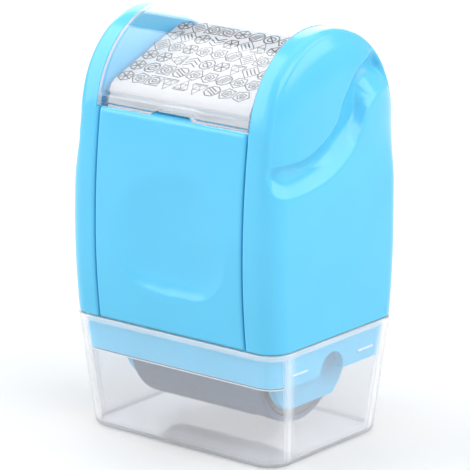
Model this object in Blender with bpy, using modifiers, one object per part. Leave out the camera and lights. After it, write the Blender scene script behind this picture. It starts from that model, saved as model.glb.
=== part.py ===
"""Privacy roller stamp: a capped hand roller with a label window.

Units are metres and +Z is up. X runs across the width of the print, Y from the front panel
to the rear panel. The origin is the middle of the cap's flat bottom, on which the stamp stands.
"""

import math

import bmesh
import bpy
from mathutils import Matrix, Vector

# Overall sizes
BODY_WIDTH = 0.0430  # across both cheeks at the seam
BODY_DEPTH = 0.0326  # front to rear at the seam
CORNER_RADIUS = 0.0039  # of the upright corners seen from above
SHOULDER_HEIGHT = 0.0354  # above the seam, where the dome starts
WAIST_SHARE = 0.41  # of the shoulder's height, where the panels bulge most
WAIST_SWELL = 0.00095  # of each panel there, past the seam's line
SHOULDER_DRAW = 0.0006  # of the front panel at the shoulder, inside the seam's line
REAR_DRAW_SHARE = 0.1  # the rear draws in by this share of what the front does above the waist
CHEEK_FRONT = 0.0064  # width of each cheek beside the panels
CHEEK_PROUD = 0.0007  # of the cheeks' crest over the top of the window

# Fits
SEAT_GAP = 0.0003  # between pieces that rest on each other
RUN_GAP = 0.00006  # between a pin and what turns on it
CUT_OVER = 0.0010  # how far a cutter runs past what it cuts
JOIN_OVER = 0.0004  # how far a rib or boss sinks into its wall before the union

# Cap
CAP_DRAW_WIDTH = 0.0016  # how far each side leans in from the seam to the floor
CAP_DRAW_DEPTH = 0.0019
CAP_WALL = 0.0009
CAP_BOTTOM_FILLET = 0.0017
CAP_ROOM = 0.0026  # under the drum

# Chassis
NECK_LENGTH = 0.0064  # of the skirt below the seam
NECK_WALL = 0.0012
CHASSIS_WALL = 0.0012
CHASSIS_DROP = 0.0071  # of its top below the shoulder
CHASSIS_INSET = 0.0015  # of its walls behind the shells' outer face at the seam
DECK_SHARE = 0.5367  # of the shoulder's height, the underside of the deck
DECK_THICKNESS = 0.0012
ARCH_RADIUS = 0.0030  # of the notch in each side of the neck
ARCH_RISE = 0.0035  # top of the notch above the neck's lower edge
DETENT_LENGTH = 0.0040
DETENT_HEIGHT = 0.0005
DETENT_PROUD = 0.0002
DETENT_SHARE = 0.53  # of the body's half-depth, the place of each ridge
DETENT_DROP = 0.0045  # of the ridges below the seam
RAIL_WIDTH = 0.0020
RAIL_INSET = 0.0027  # of the rails from the edges of the side plates

# Shells
GROOVE_WIDTH = 0.0003  # seam between a panel and a cheek
CHEEK_LIP_RISE = 0.0002  # of the dome's inner edge over the window
CHEEK_PILLOW = 0.0004  # swell of the side face past the rounding
CHEEK_TUCK_SHARE = 0.20  # how far the rounding draws in at the top of the dome
CHEEK_HOLLOW_WALL = 0.0016
DIMPLE_WIDTH_SHARE = 0.795  # of the panel's width
DIMPLE_HEIGHT_SHARE = 0.588  # of the shoulder's height
DIMPLE_MIDDLE_SHARE = 0.475  # of the shoulder's height
DIMPLE_DEPTH = 0.0012
DIMPLE_BALL = 0.0030  # half-thickness of the ball that scoops it
DIMPLE_LEAN = math.radians(4)
SWOOP_RADIUS = 0.0048  # of the round tool that scoops the finger groove
SWOOP_DEPTH = 0.0012

# Window and label
WINDOW_PROUD = 0.0001  # of the window over the panels at the shoulder
WINDOW_WALL = 0.0010
WINDOW_AXIS_DROP = 0.0018  # of its centre line below the shoulder
WINDOW_STEP = 0.0011  # how far the window reaches past the panel into each cheek
WINDOW_LIP = 0.0005  # thickening of the front rail, inwards
WINDOW_LIP_HEIGHT = 0.0012
THUMB_NOTCH_WIDTH = 0.0084
THUMB_NOTCH_HEIGHT = 0.0007
HINGE_RISE = 0.0016  # of the hinge axis above the shoulder
HINGE_INSET = 0.0015  # of the hinge axis inside the window's outer face
HINGE_BARREL_RADIUS = 0.0011
PIN_RADIUS = 0.0005
PIN_GRIP = 0.0010  # length of the pin held in each cheek
BED_SIDE_GAP = 0.0002  # how much narrower the bed is than the panels, on each side
BED_WALL = 0.0012
BED_FRONT_INSET = 0.0027  # of its front wall inside the window's outer face
BED_REAR_INSET = 0.0039
BED_KNEE_RISE = 0.0029  # top of the front wall above the shoulder
BED_CREST_SHARE = 0.291  # of the window's radius, the highest line behind the middle
BED_SLOPE = math.radians(21.2)
BED_BEND = 0.0018  # outer radius where the front wall turns into the slope
BED_REAR_RISE = 0.0031  # top of the rear wall above the shoulder
BED_FLANGE_THICKNESS = 0.0012
BED_FLANGE_INSET = 0.0016  # of its front and rear edges inside the window's outer face
CARD_MARGIN = 0.0005  # how much narrower the card is than the bed, on each side
CARD_THICKNESS = 0.00025
CARD_FRONT_RISE = 0.0008  # of its lower front edge above the shoulder
FILLER_RADIUS = 0.0022
FILLER_BORE = 0.0014
FILLER_SHIFT = 0.0030  # in front of the middle

# Roller cartridge
DRUM_DROP = 0.0054  # of the drum's axis below the seam
DRUM_INSET = 0.0057  # of the drum's face from the body's front at the seam
SLEEVE_THICKNESS = 0.0010
DRUM_RIM_WALL = 0.0013
DRUM_RECESS = 0.0050
DRUM_HUB_RADIUS = 0.0036
AXLE_RADIUS = 0.00125
AXLE_GRIP = 0.0009  # length of an axle held in each side plate
BUSH_WALL = 0.0008
BUSH_LENGTH = 0.0040
BUSH_FLANGE_RADIUS = 0.0032
BUSH_FLANGE = 0.0005
PLATE_INSET = 0.0075  # of each side plate's inner face from the body's side at the seam
PLATE_THICKNESS = 0.0015
PLATE_DRAW = 0.0009  # how much smaller the plates' lobes are than the drum
PLATE_LIFT = 0.0010  # of the lobe's centre above the drum's axis
PLATE_CUT_SHARE = 0.8144  # of the lobe's radius, down to the flat at its foot
BRIDGE_THICKNESS = 0.0010
INK_DRAW = 0.0004  # how much shorter the foam is than the drum, at each end
INK_CORE_SHARE = 0.46  # of the foam's radius
INK_AXLE_SHARE = 0.19
PAD_THICKNESS = 0.0012
PAD_DEPTH = 0.0080
PAD_DRAW = 0.0008  # how much shorter the pad is than the foam, at each end

# Facets
OUTLINE_STEPS = 10
DOME_STEPS = 20
ROUND_STEPS = 5
TURN_STEPS = 40
SMALL_TURN_STEPS = 20

# Places along the finger groove: (depth, height) as shares of the waist's half-depth and of
# the shell's height, and the tool's share of its radius there.
SWOOP_SHARES = [
    ((-0.82, 0.545), 0.62),
    ((-0.70, 0.545), 0.92),
    ((-0.50, 0.553), 1.0),
    ((-0.30, 0.568), 1.0),
    ((-0.11, 0.590), 1.0),
    ((0.04, 0.622), 1.0),
    ((0.15, 0.668), 1.0),
    ((0.24, 0.722), 1.0),
    ((0.33, 0.772), 1.0),
    ((0.46, 0.812), 1.0),
    ((0.66, 0.842), 1.0),
    ((0.95, 0.862), 1.0),
]

# Worked out from the sizes above
WAIST_HEIGHT = SHOULDER_HEIGHT * WAIST_SHARE
SHOULDER_DEPTH = BODY_DEPTH - 2 * SHOULDER_DRAW
WAIST_DEPTH = BODY_DEPTH + 2 * WAIST_SWELL
PANEL_WIDTH = BODY_WIDTH - 2 * CHEEK_FRONT
CHEEK_CREST = BODY_WIDTH / 2 - CORNER_RADIUS  # where the cheek starts to round over
CHEEK_INNER = PANEL_WIDTH / 2 + GROOVE_WIDTH
WINDOW_RADIUS = SHOULDER_DEPTH / 2 + WINDOW_PROUD
WINDOW_BAY_WIDTH = PANEL_WIDTH + 2 * WINDOW_STEP
WINDOW_WIDTH = WINDOW_BAY_WIDTH - 2 * SEAT_GAP
DOME_RISE = WINDOW_RADIUS - WINDOW_AXIS_DROP + CHEEK_PROUD
SHELL_HEIGHT = SHOULDER_HEIGHT + DOME_RISE
PLATE_INNER = BODY_WIDTH / 2 - PLATE_INSET
PLATE_OUTER = PLATE_INNER + PLATE_THICKNESS
DRUM_RADIUS = BODY_DEPTH / 2 - DRUM_INSET
DRUM_LENGTH = 2 * (PLATE_INNER - BUSH_FLANGE - SEAT_GAP)
PLATE_HALF_DEPTH = DRUM_RADIUS - PLATE_DRAW
PLATE_LOBE_DROP = DRUM_DROP - PLATE_LIFT
PLATE_CUT_DROP = PLATE_LOBE_DROP + PLATE_HALF_DEPTH * PLATE_CUT_SHARE
RAIL_OFFSET = PLATE_HALF_DEPTH - RAIL_INSET
CAP_HEIGHT = CAP_WALL + CAP_ROOM + DRUM_RADIUS + DRUM_DROP
CAP_BOTTOM_WIDTH = BODY_WIDTH - 2 * CAP_DRAW_WIDTH
CAP_BOTTOM_DEPTH = BODY_DEPTH - 2 * CAP_DRAW_DEPTH
CAP_INSET = CAP_WALL + SEAT_GAP
SEAM_Z = CAP_HEIGHT + SEAT_GAP
SHOULDER_Z = SEAM_Z + SHOULDER_HEIGHT
PANEL_TOP_Z = SHOULDER_Z - SEAT_GAP
WINDOW_AXIS_Z = SHOULDER_Z - WINDOW_AXIS_DROP
HINGE_Z = SHOULDER_Z + HINGE_RISE
HINGE_DEPTH = WINDOW_RADIUS - HINGE_INSET
CHASSIS_HALF_WIDTH = BODY_WIDTH / 2 - CHASSIS_INSET
CHASSIS_HALF_DEPTH = BODY_DEPTH / 2 - CHASSIS_INSET
CHASSIS_TOP_Z = SHOULDER_Z - CHASSIS_DROP
DETENT_OFFSET = BODY_DEPTH / 2 * DETENT_SHARE
DECK_Z = SEAM_Z + SHOULDER_HEIGHT * DECK_SHARE
NECK_Z = SEAM_Z - NECK_LENGTH
BRIDGE_TOP_Z = DECK_Z - SEAT_GAP
BRIDGE_Z = BRIDGE_TOP_Z - BRIDGE_THICKNESS
PLATE_TOP_Z = BRIDGE_Z - SEAT_GAP
PAD_TOP_Z = BRIDGE_Z - SEAT_GAP
PAD_Z = PAD_TOP_Z - PAD_THICKNESS
DRUM_Z = SEAM_Z - DRUM_DROP
INK_RADIUS = (PAD_Z - DRUM_Z - DRUM_RADIUS - 2 * SEAT_GAP) / 2
INK_Z = DRUM_Z + DRUM_RADIUS + SEAT_GAP + INK_RADIUS
INK_LENGTH = DRUM_LENGTH - 2 * INK_DRAW
INK_CORE_RADIUS = INK_RADIUS * INK_CORE_SHARE
INK_AXLE_RADIUS = INK_RADIUS * INK_AXLE_SHARE
PAD_LENGTH = INK_LENGTH - 2 * PAD_DRAW
BED_Z = CHASSIS_TOP_Z + SEAT_GAP
BED_WIDTH = PANEL_WIDTH - 2 * BED_SIDE_GAP
BED_FRONT = WINDOW_RADIUS - BED_FRONT_INSET
BED_REAR = WINDOW_RADIUS - BED_REAR_INSET
BED_CREST_DEPTH = WINDOW_RADIUS * BED_CREST_SHARE
BED_FLANGE_HALF = WINDOW_RADIUS - BED_FLANGE_INSET
BED_LIFT = SEAT_GAP + CARD_THICKNESS  # of the card's outer face off the bed
CARD_WIDTH = BED_WIDTH - 2 * CARD_MARGIN
PANEL_STEP_Z = BED_Z + BED_FLANGE_THICKNESS + SEAT_GAP  # above it the panels are thicker

SKY = (0.110, 0.640, 0.930, 1)
SKY_DEEP = (0.090, 0.560, 0.880, 1)


def clear_scene():
    for obj in list(bpy.data.objects):
        bpy.data.objects.remove(obj, do_unlink=True)


def new_collection(name):
    collection = bpy.data.collections.new(name)
    bpy.context.scene.collection.children.link(collection)
    return collection


def new_material(name, color, roughness, metallic=0.0, alpha=1.0, transmission=0.0):
    material = bpy.data.materials.new(name)
    material.use_nodes = True
    shader = material.node_tree.nodes["Principled BSDF"]
    shader.inputs["Base Color"].default_value = color
    shader.inputs["Roughness"].default_value = roughness
    shader.inputs["Metallic"].default_value = metallic
    shader.inputs["Alpha"].default_value = alpha
    shader.inputs["Transmission Weight"].default_value = transmission
    material.diffuse_color = color
    return material


clear_scene()
parts = new_collection("privacy_roller_stamp")
cutters = new_collection("cutters")

blue_gloss = new_material("blue_gloss", SKY, 0.28)
blue_inner = new_material("blue_inner", SKY_DEEP, 0.40)
clear_plastic = new_material("clear_plastic", (0.94, 0.96, 0.97, 1), 0.05, alpha=0.25, transmission=0.9)
frosted_plastic = new_material("frosted_plastic", (0.86, 0.88, 0.89, 1), 0.30, alpha=0.35, transmission=0.6)
card_stock = new_material("card_stock", (0.93, 0.93, 0.93, 1), 0.60)
black_rubber = new_material("black_rubber", (0.045, 0.050, 0.058, 1), 0.55)
grey_plastic = new_material("grey_plastic", (0.30, 0.32, 0.34, 1), 0.45)
ink_felt = new_material("ink_felt", (0.025, 0.025, 0.030, 1), 0.90)
steel = new_material("steel", (0.62, 0.63, 0.65, 1), 0.25, metallic=1.0)
white_plastic = new_material("white_plastic", (0.85, 0.86, 0.86, 1), 0.40)


def add_object(name, mesh, material=None):
    """A part with a material, or a hidden wire cutter without one."""
    obj = bpy.data.objects.new(name, mesh)
    if material is None:
        cutters.objects.link(obj)
        obj.hide_render = True
        obj.display_type = "WIRE"
    else:
        parts.objects.link(obj)
        mesh.materials.clear()
        mesh.materials.append(material)
    return obj


def mesh_from(bm, name):
    bmesh.ops.recalc_face_normals(bm, faces=bm.faces)
    mesh = bpy.data.meshes.new(name)
    bm.to_mesh(mesh)
    bm.free()
    return mesh


def smooth(obj, degrees=35):
    obj.data.shade_smooth()
    obj.data.set_sharp_from_angle(angle=math.radians(degrees))
    return obj


def boolean(obj, other, operation):
    modifier = obj.modifiers.new(other.name, "BOOLEAN")
    modifier.operation = operation
    modifier.solver = "EXACT"
    modifier.object = other
    return modifier


def cut(obj, *others):
    for other in others:
        boolean(obj, other, "DIFFERENCE")


def join(obj, *others):
    for other in others:
        boolean(obj, other, "UNION")


def box(name, low, high, material=None):
    """A block between two corners."""
    bm = bmesh.new()
    bmesh.ops.create_cube(bm, size=1)
    low = Vector(low)
    high = Vector(high)
    bmesh.ops.scale(bm, vec=high - low, verts=bm.verts)
    bmesh.ops.translate(bm, vec=(low + high) / 2, verts=bm.verts)
    return add_object(name, mesh_from(bm, name), material)


def rod(name, radius, low_x, high_x, depth, height, material=None, steps=SMALL_TURN_STEPS):
    """A cylinder along X."""
    bm = bmesh.new()
    bmesh.ops.create_cone(
        bm, cap_ends=True, segments=steps, radius1=radius, radius2=radius, depth=high_x - low_x
    )
    turned = Matrix.Rotation(math.pi / 2, 4, "Y")
    place = Matrix.Translation(((low_x + high_x) / 2, depth, height))
    bmesh.ops.transform(bm, matrix=place @ turned, verts=bm.verts)
    return add_object(name, mesh_from(bm, name), material)


def upright(name, radius, low_z, high_z, across, depth, material=None):
    """A cylinder along Z."""
    bm = bmesh.new()
    bmesh.ops.create_cone(
        bm,
        cap_ends=True,
        segments=SMALL_TURN_STEPS,
        radius1=radius,
        radius2=radius,
        depth=high_z - low_z,
    )
    bmesh.ops.translate(bm, vec=(across, depth, (low_z + high_z) / 2), verts=bm.verts)
    return add_object(name, mesh_from(bm, name), material)


def mesh_from_curve(curve_object, name):
    """The curve's filled solid as a welded mesh in world space. The curve is removed."""
    graph = bpy.context.evaluated_depsgraph_get()
    mesh = bpy.data.meshes.new_from_object(curve_object.evaluated_get(graph))
    mesh.name = name
    mesh.transform(curve_object.matrix_world)
    bm = bmesh.new()
    bm.from_mesh(mesh)
    bmesh.ops.remove_doubles(bm, verts=bm.verts, dist=RUN_GAP / 10)
    bmesh.ops.recalc_face_normals(bm, faces=bm.faces)
    bm.to_mesh(mesh)
    bm.free()
    data = curve_object.data
    bpy.data.objects.remove(curve_object)
    bpy.data.curves.remove(data)
    return mesh


def side_slab(name, outline, low_x, high_x, material=None):
    """An outline of (depth, height) points, drawn from the side and extruded along X."""
    curve = bpy.data.curves.new(name, "CURVE")
    curve.dimensions = "2D"
    curve.fill_mode = "BOTH"
    curve.extrude = (high_x - low_x) / 2
    spline = curve.splines.new("POLY")
    spline.points.add(len(outline) - 1)
    for point, (depth, height) in zip(spline.points, outline):
        point.co = (depth, height, 0, 1)
    spline.use_cyclic_u = True
    flat = bpy.data.objects.new(name, curve)
    cutters.objects.link(flat)
    # The curve's own X and Y become the world's Y and Z.
    flat.matrix_world = Matrix(
        (
            (0, 0, 1, (low_x + high_x) / 2),
            (1, 0, 0, 0),
            (0, 1, 0, 0),
            (0, 0, 0, 1),
        )
    )
    bpy.context.view_layer.update()
    return add_object(name, mesh_from_curve(flat, name), material)


def turned(name, profile, height, material, steps=TURN_STEPS):
    """A closed profile of (along, radius) points turned round an axis along X."""
    bm = bmesh.new()
    verts = [bm.verts.new((radius, 0, along)) for along, radius in reversed(profile)]
    for first, second in zip(verts, verts[1:] + verts[:1]):
        bm.edges.new((first, second))
    mesh = bpy.data.meshes.new(name)
    bm.to_mesh(mesh)
    bm.free()
    obj = add_object(name, mesh, material)
    screw = obj.modifiers.new("turn", "SCREW")
    screw.axis = "Z"
    screw.steps = steps
    screw.render_steps = steps
    screw.use_merge_vertices = True
    screw.merge_threshold = RUN_GAP / 10
    # The profile's own Z becomes the world's X.
    obj.rotation_euler = (0, math.pi / 2, 0)
    obj.location = (0, 0, height)
    return smooth(obj)


def arc(center, radius, start, end, steps):
    points = []
    for step in range(steps + 1):
        angle = start + (end - start) * step / steps
        points.append((center[0] + radius * math.cos(angle), center[1] + radius * math.sin(angle)))
    return points


def half_depth(height, draw_share=1):
    """How far the shell reaches at a height above the seam, at the front or at the fuller rear."""
    waist = WAIST_DEPTH / 2
    if height <= WAIST_HEIGHT:
        far = (WAIST_HEIGHT - height) / WAIST_HEIGHT
        return waist - (waist - BODY_DEPTH / 2) * far**2
    far = (height - WAIST_HEIGHT) / (SHOULDER_HEIGHT - WAIST_HEIGHT)
    return waist - (waist - SHOULDER_DEPTH / 2) * draw_share * far**2


def front_curve(low, high, steps, draw_share=1):
    """Points up the front of the shell, or up its rear turned round, between two heights."""
    heights = [low + (high - low) * step / steps for step in range(steps + 1)]
    return [(-half_depth(height, draw_share), SEAM_Z + height) for height in heights]


def rounded_block(name, bottom_size, top_size, low_z, high_z, radius, material=None, fillet=0):
    """A block with a round at each upright edge, which may taper and have rounded lower edges."""
    bm = bmesh.new()
    bmesh.ops.create_cube(bm, size=1)
    for vert in bm.verts:
        size = top_size if vert.co.z > 0 else bottom_size
        height = high_z if vert.co.z > 0 else low_z
        vert.co = Vector((vert.co.x * size[0], vert.co.y * size[1], height))
    upright_edges = [
        edge for edge in bm.edges if abs(edge.verts[0].co.z - edge.verts[1].co.z) > radius / 2
    ]
    bmesh.ops.bevel(
        bm,
        geom=upright_edges,
        offset=radius,
        offset_type="OFFSET",
        segments=ROUND_STEPS,
        profile=0.5,
        affect="EDGES",
        clamp_overlap=False,
    )
    if fillet:
        low_edges = [
            edge for edge in bm.edges if max(vert.co.z for vert in edge.verts) < low_z + fillet / 10
        ]
        bmesh.ops.bevel(
            bm,
            geom=low_edges,
            offset=fillet,
            offset_type="OFFSET",
            segments=ROUND_STEPS,
            profile=0.5,
            affect="EDGES",
            clamp_overlap=False,
        )
    return add_object(name, mesh_from(bm, name), material)


# Cap
def cap_size_at(height, inset=0.0):
    """The cap's width and depth at a height above the floor, less an inset on every side."""
    share = height / SEAM_Z
    width = CAP_BOTTOM_WIDTH + (BODY_WIDTH - CAP_BOTTOM_WIDTH) * share
    depth = CAP_BOTTOM_DEPTH + (BODY_DEPTH - CAP_BOTTOM_DEPTH) * share
    return width - 2 * inset, depth - 2 * inset


def make_cap():
    """The frosted cap is an open tapered box with rounded lower edges."""
    cap = rounded_block(
        "cap",
        cap_size_at(0),
        cap_size_at(CAP_HEIGHT),
        0,
        CAP_HEIGHT,
        CORNER_RADIUS,
        frosted_plastic,
        fillet=CAP_BOTTOM_FILLET,
    )
    hollow = rounded_block(
        "cap_hollow",
        cap_size_at(CAP_WALL, CAP_WALL),
        cap_size_at(CAP_HEIGHT + CUT_OVER, CAP_WALL),
        CAP_WALL,
        CAP_HEIGHT + CUT_OVER,
        CORNER_RADIUS - CAP_WALL,
        fillet=CAP_BOTTOM_FILLET - CAP_WALL,
    )
    cut(cap, hollow)
    smooth(cap)


# Chassis
def make_chassis():
    """The inner box: a tapered neck for the cap, a tall tube for the shells and a deck."""
    chassis = rounded_block(
        "chassis",
        (2 * CHASSIS_HALF_WIDTH, 2 * CHASSIS_HALF_DEPTH),
        (2 * CHASSIS_HALF_WIDTH, 2 * CHASSIS_HALF_DEPTH),
        SEAM_Z - SEAT_GAP - JOIN_OVER,
        CHASSIS_TOP_Z,
        CORNER_RADIUS - CHASSIS_INSET,
        blue_inner,
    )
    neck = rounded_block(
        "neck_blank",
        cap_size_at(NECK_Z, CAP_INSET),
        cap_size_at(SEAM_Z - SEAT_GAP, CAP_INSET),
        NECK_Z,
        SEAM_Z - SEAT_GAP,
        CORNER_RADIUS - CAP_INSET,
    )
    join(chassis, neck)
    bay_width = min(CHASSIS_HALF_WIDTH - CHASSIS_WALL, cap_size_at(NECK_Z, CAP_INSET)[0] / 2 - NECK_WALL)
    bay_depth = min(CHASSIS_HALF_DEPTH - CHASSIS_WALL, cap_size_at(NECK_Z, CAP_INSET)[1] / 2 - NECK_WALL)
    bay = rounded_block(
        "roller_bay",
        (2 * bay_width, 2 * bay_depth),
        (2 * bay_width, 2 * bay_depth),
        NECK_Z - CUT_OVER,
        DECK_Z,
        NECK_WALL,
    )
    loft = rounded_block(
        "upper_bay",
        (2 * bay_width, 2 * bay_depth),
        (2 * bay_width, 2 * bay_depth),
        DECK_Z + DECK_THICKNESS,
        CHASSIS_TOP_Z + CUT_OVER,
        NECK_WALL,
    )
    cut(chassis, bay, loft)
    rail_low = -bay_width - JOIN_OVER
    rail_high = -PLATE_OUTER - SEAT_GAP
    for side in (-1, 1):
        name = "left" if side < 0 else "right"
        ends = sorted((side * -rail_low, side * -rail_high))
        for across in (-RAIL_OFFSET, RAIL_OFFSET):
            rail = box(
                f"{name}_rail_{'front' if across < 0 else 'rear'}",
                (ends[0], across - RAIL_WIDTH / 2, NECK_Z + ARCH_RISE),
                (ends[1], across + RAIL_WIDTH / 2, DECK_Z + JOIN_OVER),
            )
            join(chassis, rail)
        detent_z = SEAM_Z - DETENT_DROP
        face = cap_size_at(detent_z, CAP_INSET)[0] / 2
        ends = sorted((side * (face - JOIN_OVER), side * (face + DETENT_PROUD)))
        for across in (-DETENT_OFFSET, DETENT_OFFSET):
            ridge = box(
                f"{name}_detent_{'front' if across < 0 else 'rear'}",
                (ends[0], across - DETENT_LENGTH / 2, detent_z - DETENT_HEIGHT / 2),
                (ends[1], across + DETENT_LENGTH / 2, detent_z + DETENT_HEIGHT / 2),
            )
            join(chassis, ridge)
    notch = rod(
        "arch_notches",
        ARCH_RADIUS,
        -BODY_WIDTH / 2,
        BODY_WIDTH / 2,
        0,
        NECK_Z + ARCH_RISE - ARCH_RADIUS,
    )
    filler = upright(
        "deck_hole",
        FILLER_RADIUS + SEAT_GAP,
        DECK_Z - CUT_OVER,
        DECK_Z + DECK_THICKNESS + CUT_OVER,
        0,
        -FILLER_SHIFT,
    )
    cut(chassis, notch, filler)
    smooth(chassis)


# Outer shells
def make_panel(name, turn):
    """A front or rear panel with its thumb dimple. The rear one is turned round, and fuller."""
    draw_share = REAR_DRAW_SHARE if turn else 1
    outer = front_curve(0, SHOULDER_HEIGHT - SEAT_GAP, OUTLINE_STEPS, draw_share)
    back = -CHASSIS_HALF_DEPTH - SEAT_GAP
    thick = -BED_FRONT - SEAT_GAP
    if turn:
        thick = -BED_FLANGE_HALF - SEAT_GAP
    inner = [(thick, PANEL_TOP_Z), (thick, PANEL_STEP_Z), (back, PANEL_STEP_Z), (back, SEAM_Z)]
    panel = side_slab(name, outer + inner, -PANEL_WIDTH / 2, PANEL_WIDTH / 2, blue_gloss)

    reach = math.sqrt(1 - (1 - DIMPLE_DEPTH / DIMPLE_BALL) ** 2)  # share of the ball's width used
    bm = bmesh.new()
    bmesh.ops.create_uvsphere(bm, u_segments=48, v_segments=24, radius=1)
    dimple_width = PANEL_WIDTH * DIMPLE_WIDTH_SHARE
    dimple_height = SHOULDER_HEIGHT * DIMPLE_HEIGHT_SHARE
    size = Matrix.Diagonal(
        (dimple_width / 2 / reach, dimple_height / 2 / reach, DIMPLE_BALL, 1)
    )
    stand = Matrix.Rotation(math.pi / 2 - DIMPLE_LEAN, 4, "X")
    middle = SHOULDER_HEIGHT * DIMPLE_MIDDLE_SHARE
    face = -half_depth(middle, draw_share) - DIMPLE_BALL + DIMPLE_DEPTH
    place = Matrix.Translation((0, face, SEAM_Z + middle))
    bmesh.ops.transform(bm, matrix=place @ stand @ size, verts=bm.verts)
    ball = add_object(f"{name}_dimple", mesh_from(bm, f"{name}_dimple"))
    cut(panel, ball)
    for obj in (panel, ball):
        obj.rotation_euler.z = turn
    smooth(panel, 25)


def cheek_blank(name):
    """A D-shaped slab whose outer edge is rounded over by insets, with a slightly swollen face."""
    over = 2 * CORNER_RADIUS  # the slab runs below the seam, so that the rounding does too
    front = front_curve(0, SHOULDER_HEIGHT, OUTLINE_STEPS)
    tall = DOME_RISE + WINDOW_AXIS_DROP
    start = math.asin(WINDOW_AXIS_DROP / tall)
    dome = [
        (depth, WINDOW_AXIS_Z + (height - WINDOW_AXIS_Z) * tall / WINDOW_RADIUS)
        for depth, height in arc(
            (0, WINDOW_AXIS_Z), WINDOW_RADIUS, math.pi - start, start, DOME_STEPS
        )[1:-1]
    ]
    rear = front_curve(0, SHOULDER_HEIGHT, OUTLINE_STEPS, REAR_DRAW_SHARE)
    rear = [(-depth, height) for depth, height in reversed(rear)]
    fuller = rear[0][0] / (SHOULDER_DEPTH / 2)
    dome = [(depth * fuller if depth > 0 else depth, height) for depth, height in dome]
    foot = [(rear[-1][0], SEAM_Z - over), (front[0][0], SEAM_Z - over)]
    outline = front + dome + rear + foot

    bm = bmesh.new()
    face = bm.faces.new([bm.verts.new((CHEEK_INNER, depth, height)) for depth, height in outline])
    outer = face
    lip_share = (WINDOW_RADIUS + CHEEK_LIP_RISE - WINDOW_AXIS_DROP) / DOME_RISE
    lip_end = WINDOW_BAY_WIDTH / 2 - SEAT_GAP
    reached = CHEEK_INNER
    for across in (lip_end, (lip_end + CHEEK_CREST) / 2, CHEEK_CREST):
        grown = bmesh.ops.extrude_face_region(bm, geom=[outer])["geom"]
        verts = [item for item in grown if isinstance(item, bmesh.types.BMVert)]
        bmesh.ops.translate(bm, vec=(across - reached, 0, 0), verts=verts)
        if outer is not face:
            bmesh.ops.delete(bm, geom=[outer], context="FACES_ONLY")
        outer = [item for item in grown if isinstance(item, bmesh.types.BMFace)][0]
        reached = across
    # The dome rises from the window's edge to the crest in a rounded step.
    for vert in bm.verts:
        above = vert.co.z - SHOULDER_Z
        if above > 0 and vert.co.x < CHEEK_CREST:
            back = max(0, vert.co.x - lip_end) / (CHEEK_CREST - lip_end)
            share = lip_share + (1 - lip_share) * math.sin(back * math.pi / 2)
            vert.co.z = SHOULDER_Z + above * share
    bmesh.ops.recalc_face_normals(bm, faces=bm.faces)
    outer = max(bm.faces, key=lambda item: item.calc_center_median().x)
    done_inset = 0.0
    done_rise = 0.0
    side_rise = BODY_WIDTH / 2 - CHEEK_CREST
    for step in range(1, ROUND_STEPS + 1):
        angle = math.pi / 2 * step / ROUND_STEPS
        inset = CORNER_RADIUS * (1 - math.cos(angle))
        rise = side_rise * math.sin(angle)
        bmesh.ops.inset_region(
            bm, faces=[outer], thickness=inset - done_inset, depth=rise - done_rise, use_even_offset=True
        )
        done_inset = inset
        done_rise = rise
    bmesh.ops.inset_region(
        bm, faces=[outer], thickness=CORNER_RADIUS, depth=CHEEK_PILLOW, use_even_offset=True
    )
    for vert in bm.verts:
        rise = vert.co.x - CHEEK_CREST
        above = (vert.co.z - SHOULDER_Z) / DOME_RISE
        if rise > 0 and above > 0:
            vert.co.x -= rise * CHEEK_TUCK_SHARE * above
    cut_plane = bmesh.ops.bisect_plane(
        bm,
        geom=bm.verts[:] + bm.edges[:] + bm.faces[:],
        dist=RUN_GAP / 10,
        plane_co=(0, 0, SEAM_Z),
        plane_no=(0, 0, 1),
        clear_inner=True,
    )["geom_cut"]
    rim = [item for item in cut_plane if isinstance(item, bmesh.types.BMEdge)]
    bmesh.ops.contextual_create(bm, geom=rim)
    bmesh.ops.triangulate(bm, faces=[face for face in bm.faces if len(face.verts) > 4])
    return mesh_from(bm, name)


def smooth_path(points, steps):
    """Points along a smooth curve through the given ones."""
    ends = [points[0]] + points + [points[-1]]
    path = []
    for index in range(1, len(ends) - 2):
        before, first, second, after = (Vector(item) for item in ends[index - 1 : index + 3])
        for step in range(steps):
            t = step / steps
            path.append(
                (
                    2 * first
                    + (second - before) * t
                    + (2 * before - 5 * first + 4 * second - after) * t**2
                    + (3 * first - before - 3 * second + after) * t**3
                )
                / 2
            )
    path.append(Vector(points[-1]))
    return path


def make_swoop(name):
    """The round tool that scoops the S-shaped finger groove out of a cheek's side face."""
    face = BODY_WIDTH / 2 + CHEEK_PILLOW - SWOOP_DEPTH + SWOOP_RADIUS
    points = []
    for (depth_share, height_share), radius_share in SWOOP_SHARES:
        depth = depth_share * WAIST_DEPTH / 2
        height = height_share * SHELL_HEIGHT
        above = max(0, height - SHOULDER_HEIGHT) / DOME_RISE
        tuck = (BODY_WIDTH / 2 - CHEEK_CREST) * CHEEK_TUCK_SHARE * above
        points.append((face - tuck, depth, SEAM_Z + height, radius_share))
    path = smooth_path(points, 2)
    curve = bpy.data.curves.new(name, "CURVE")
    curve.dimensions = "3D"
    curve.bevel_depth = SWOOP_RADIUS
    curve.bevel_resolution = 4
    curve.use_fill_caps = True
    spline = curve.splines.new("POLY")
    spline.points.add(len(path) - 1)
    for point, (across, depth, height, share) in zip(spline.points, path):
        point.co = (across, depth, height, 1)
        point.radius = share
    tube = bpy.data.objects.new(name, curve)
    cutters.objects.link(tube)
    bpy.context.view_layer.update()
    return add_object(name, mesh_from_curve(tube, name))


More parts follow.
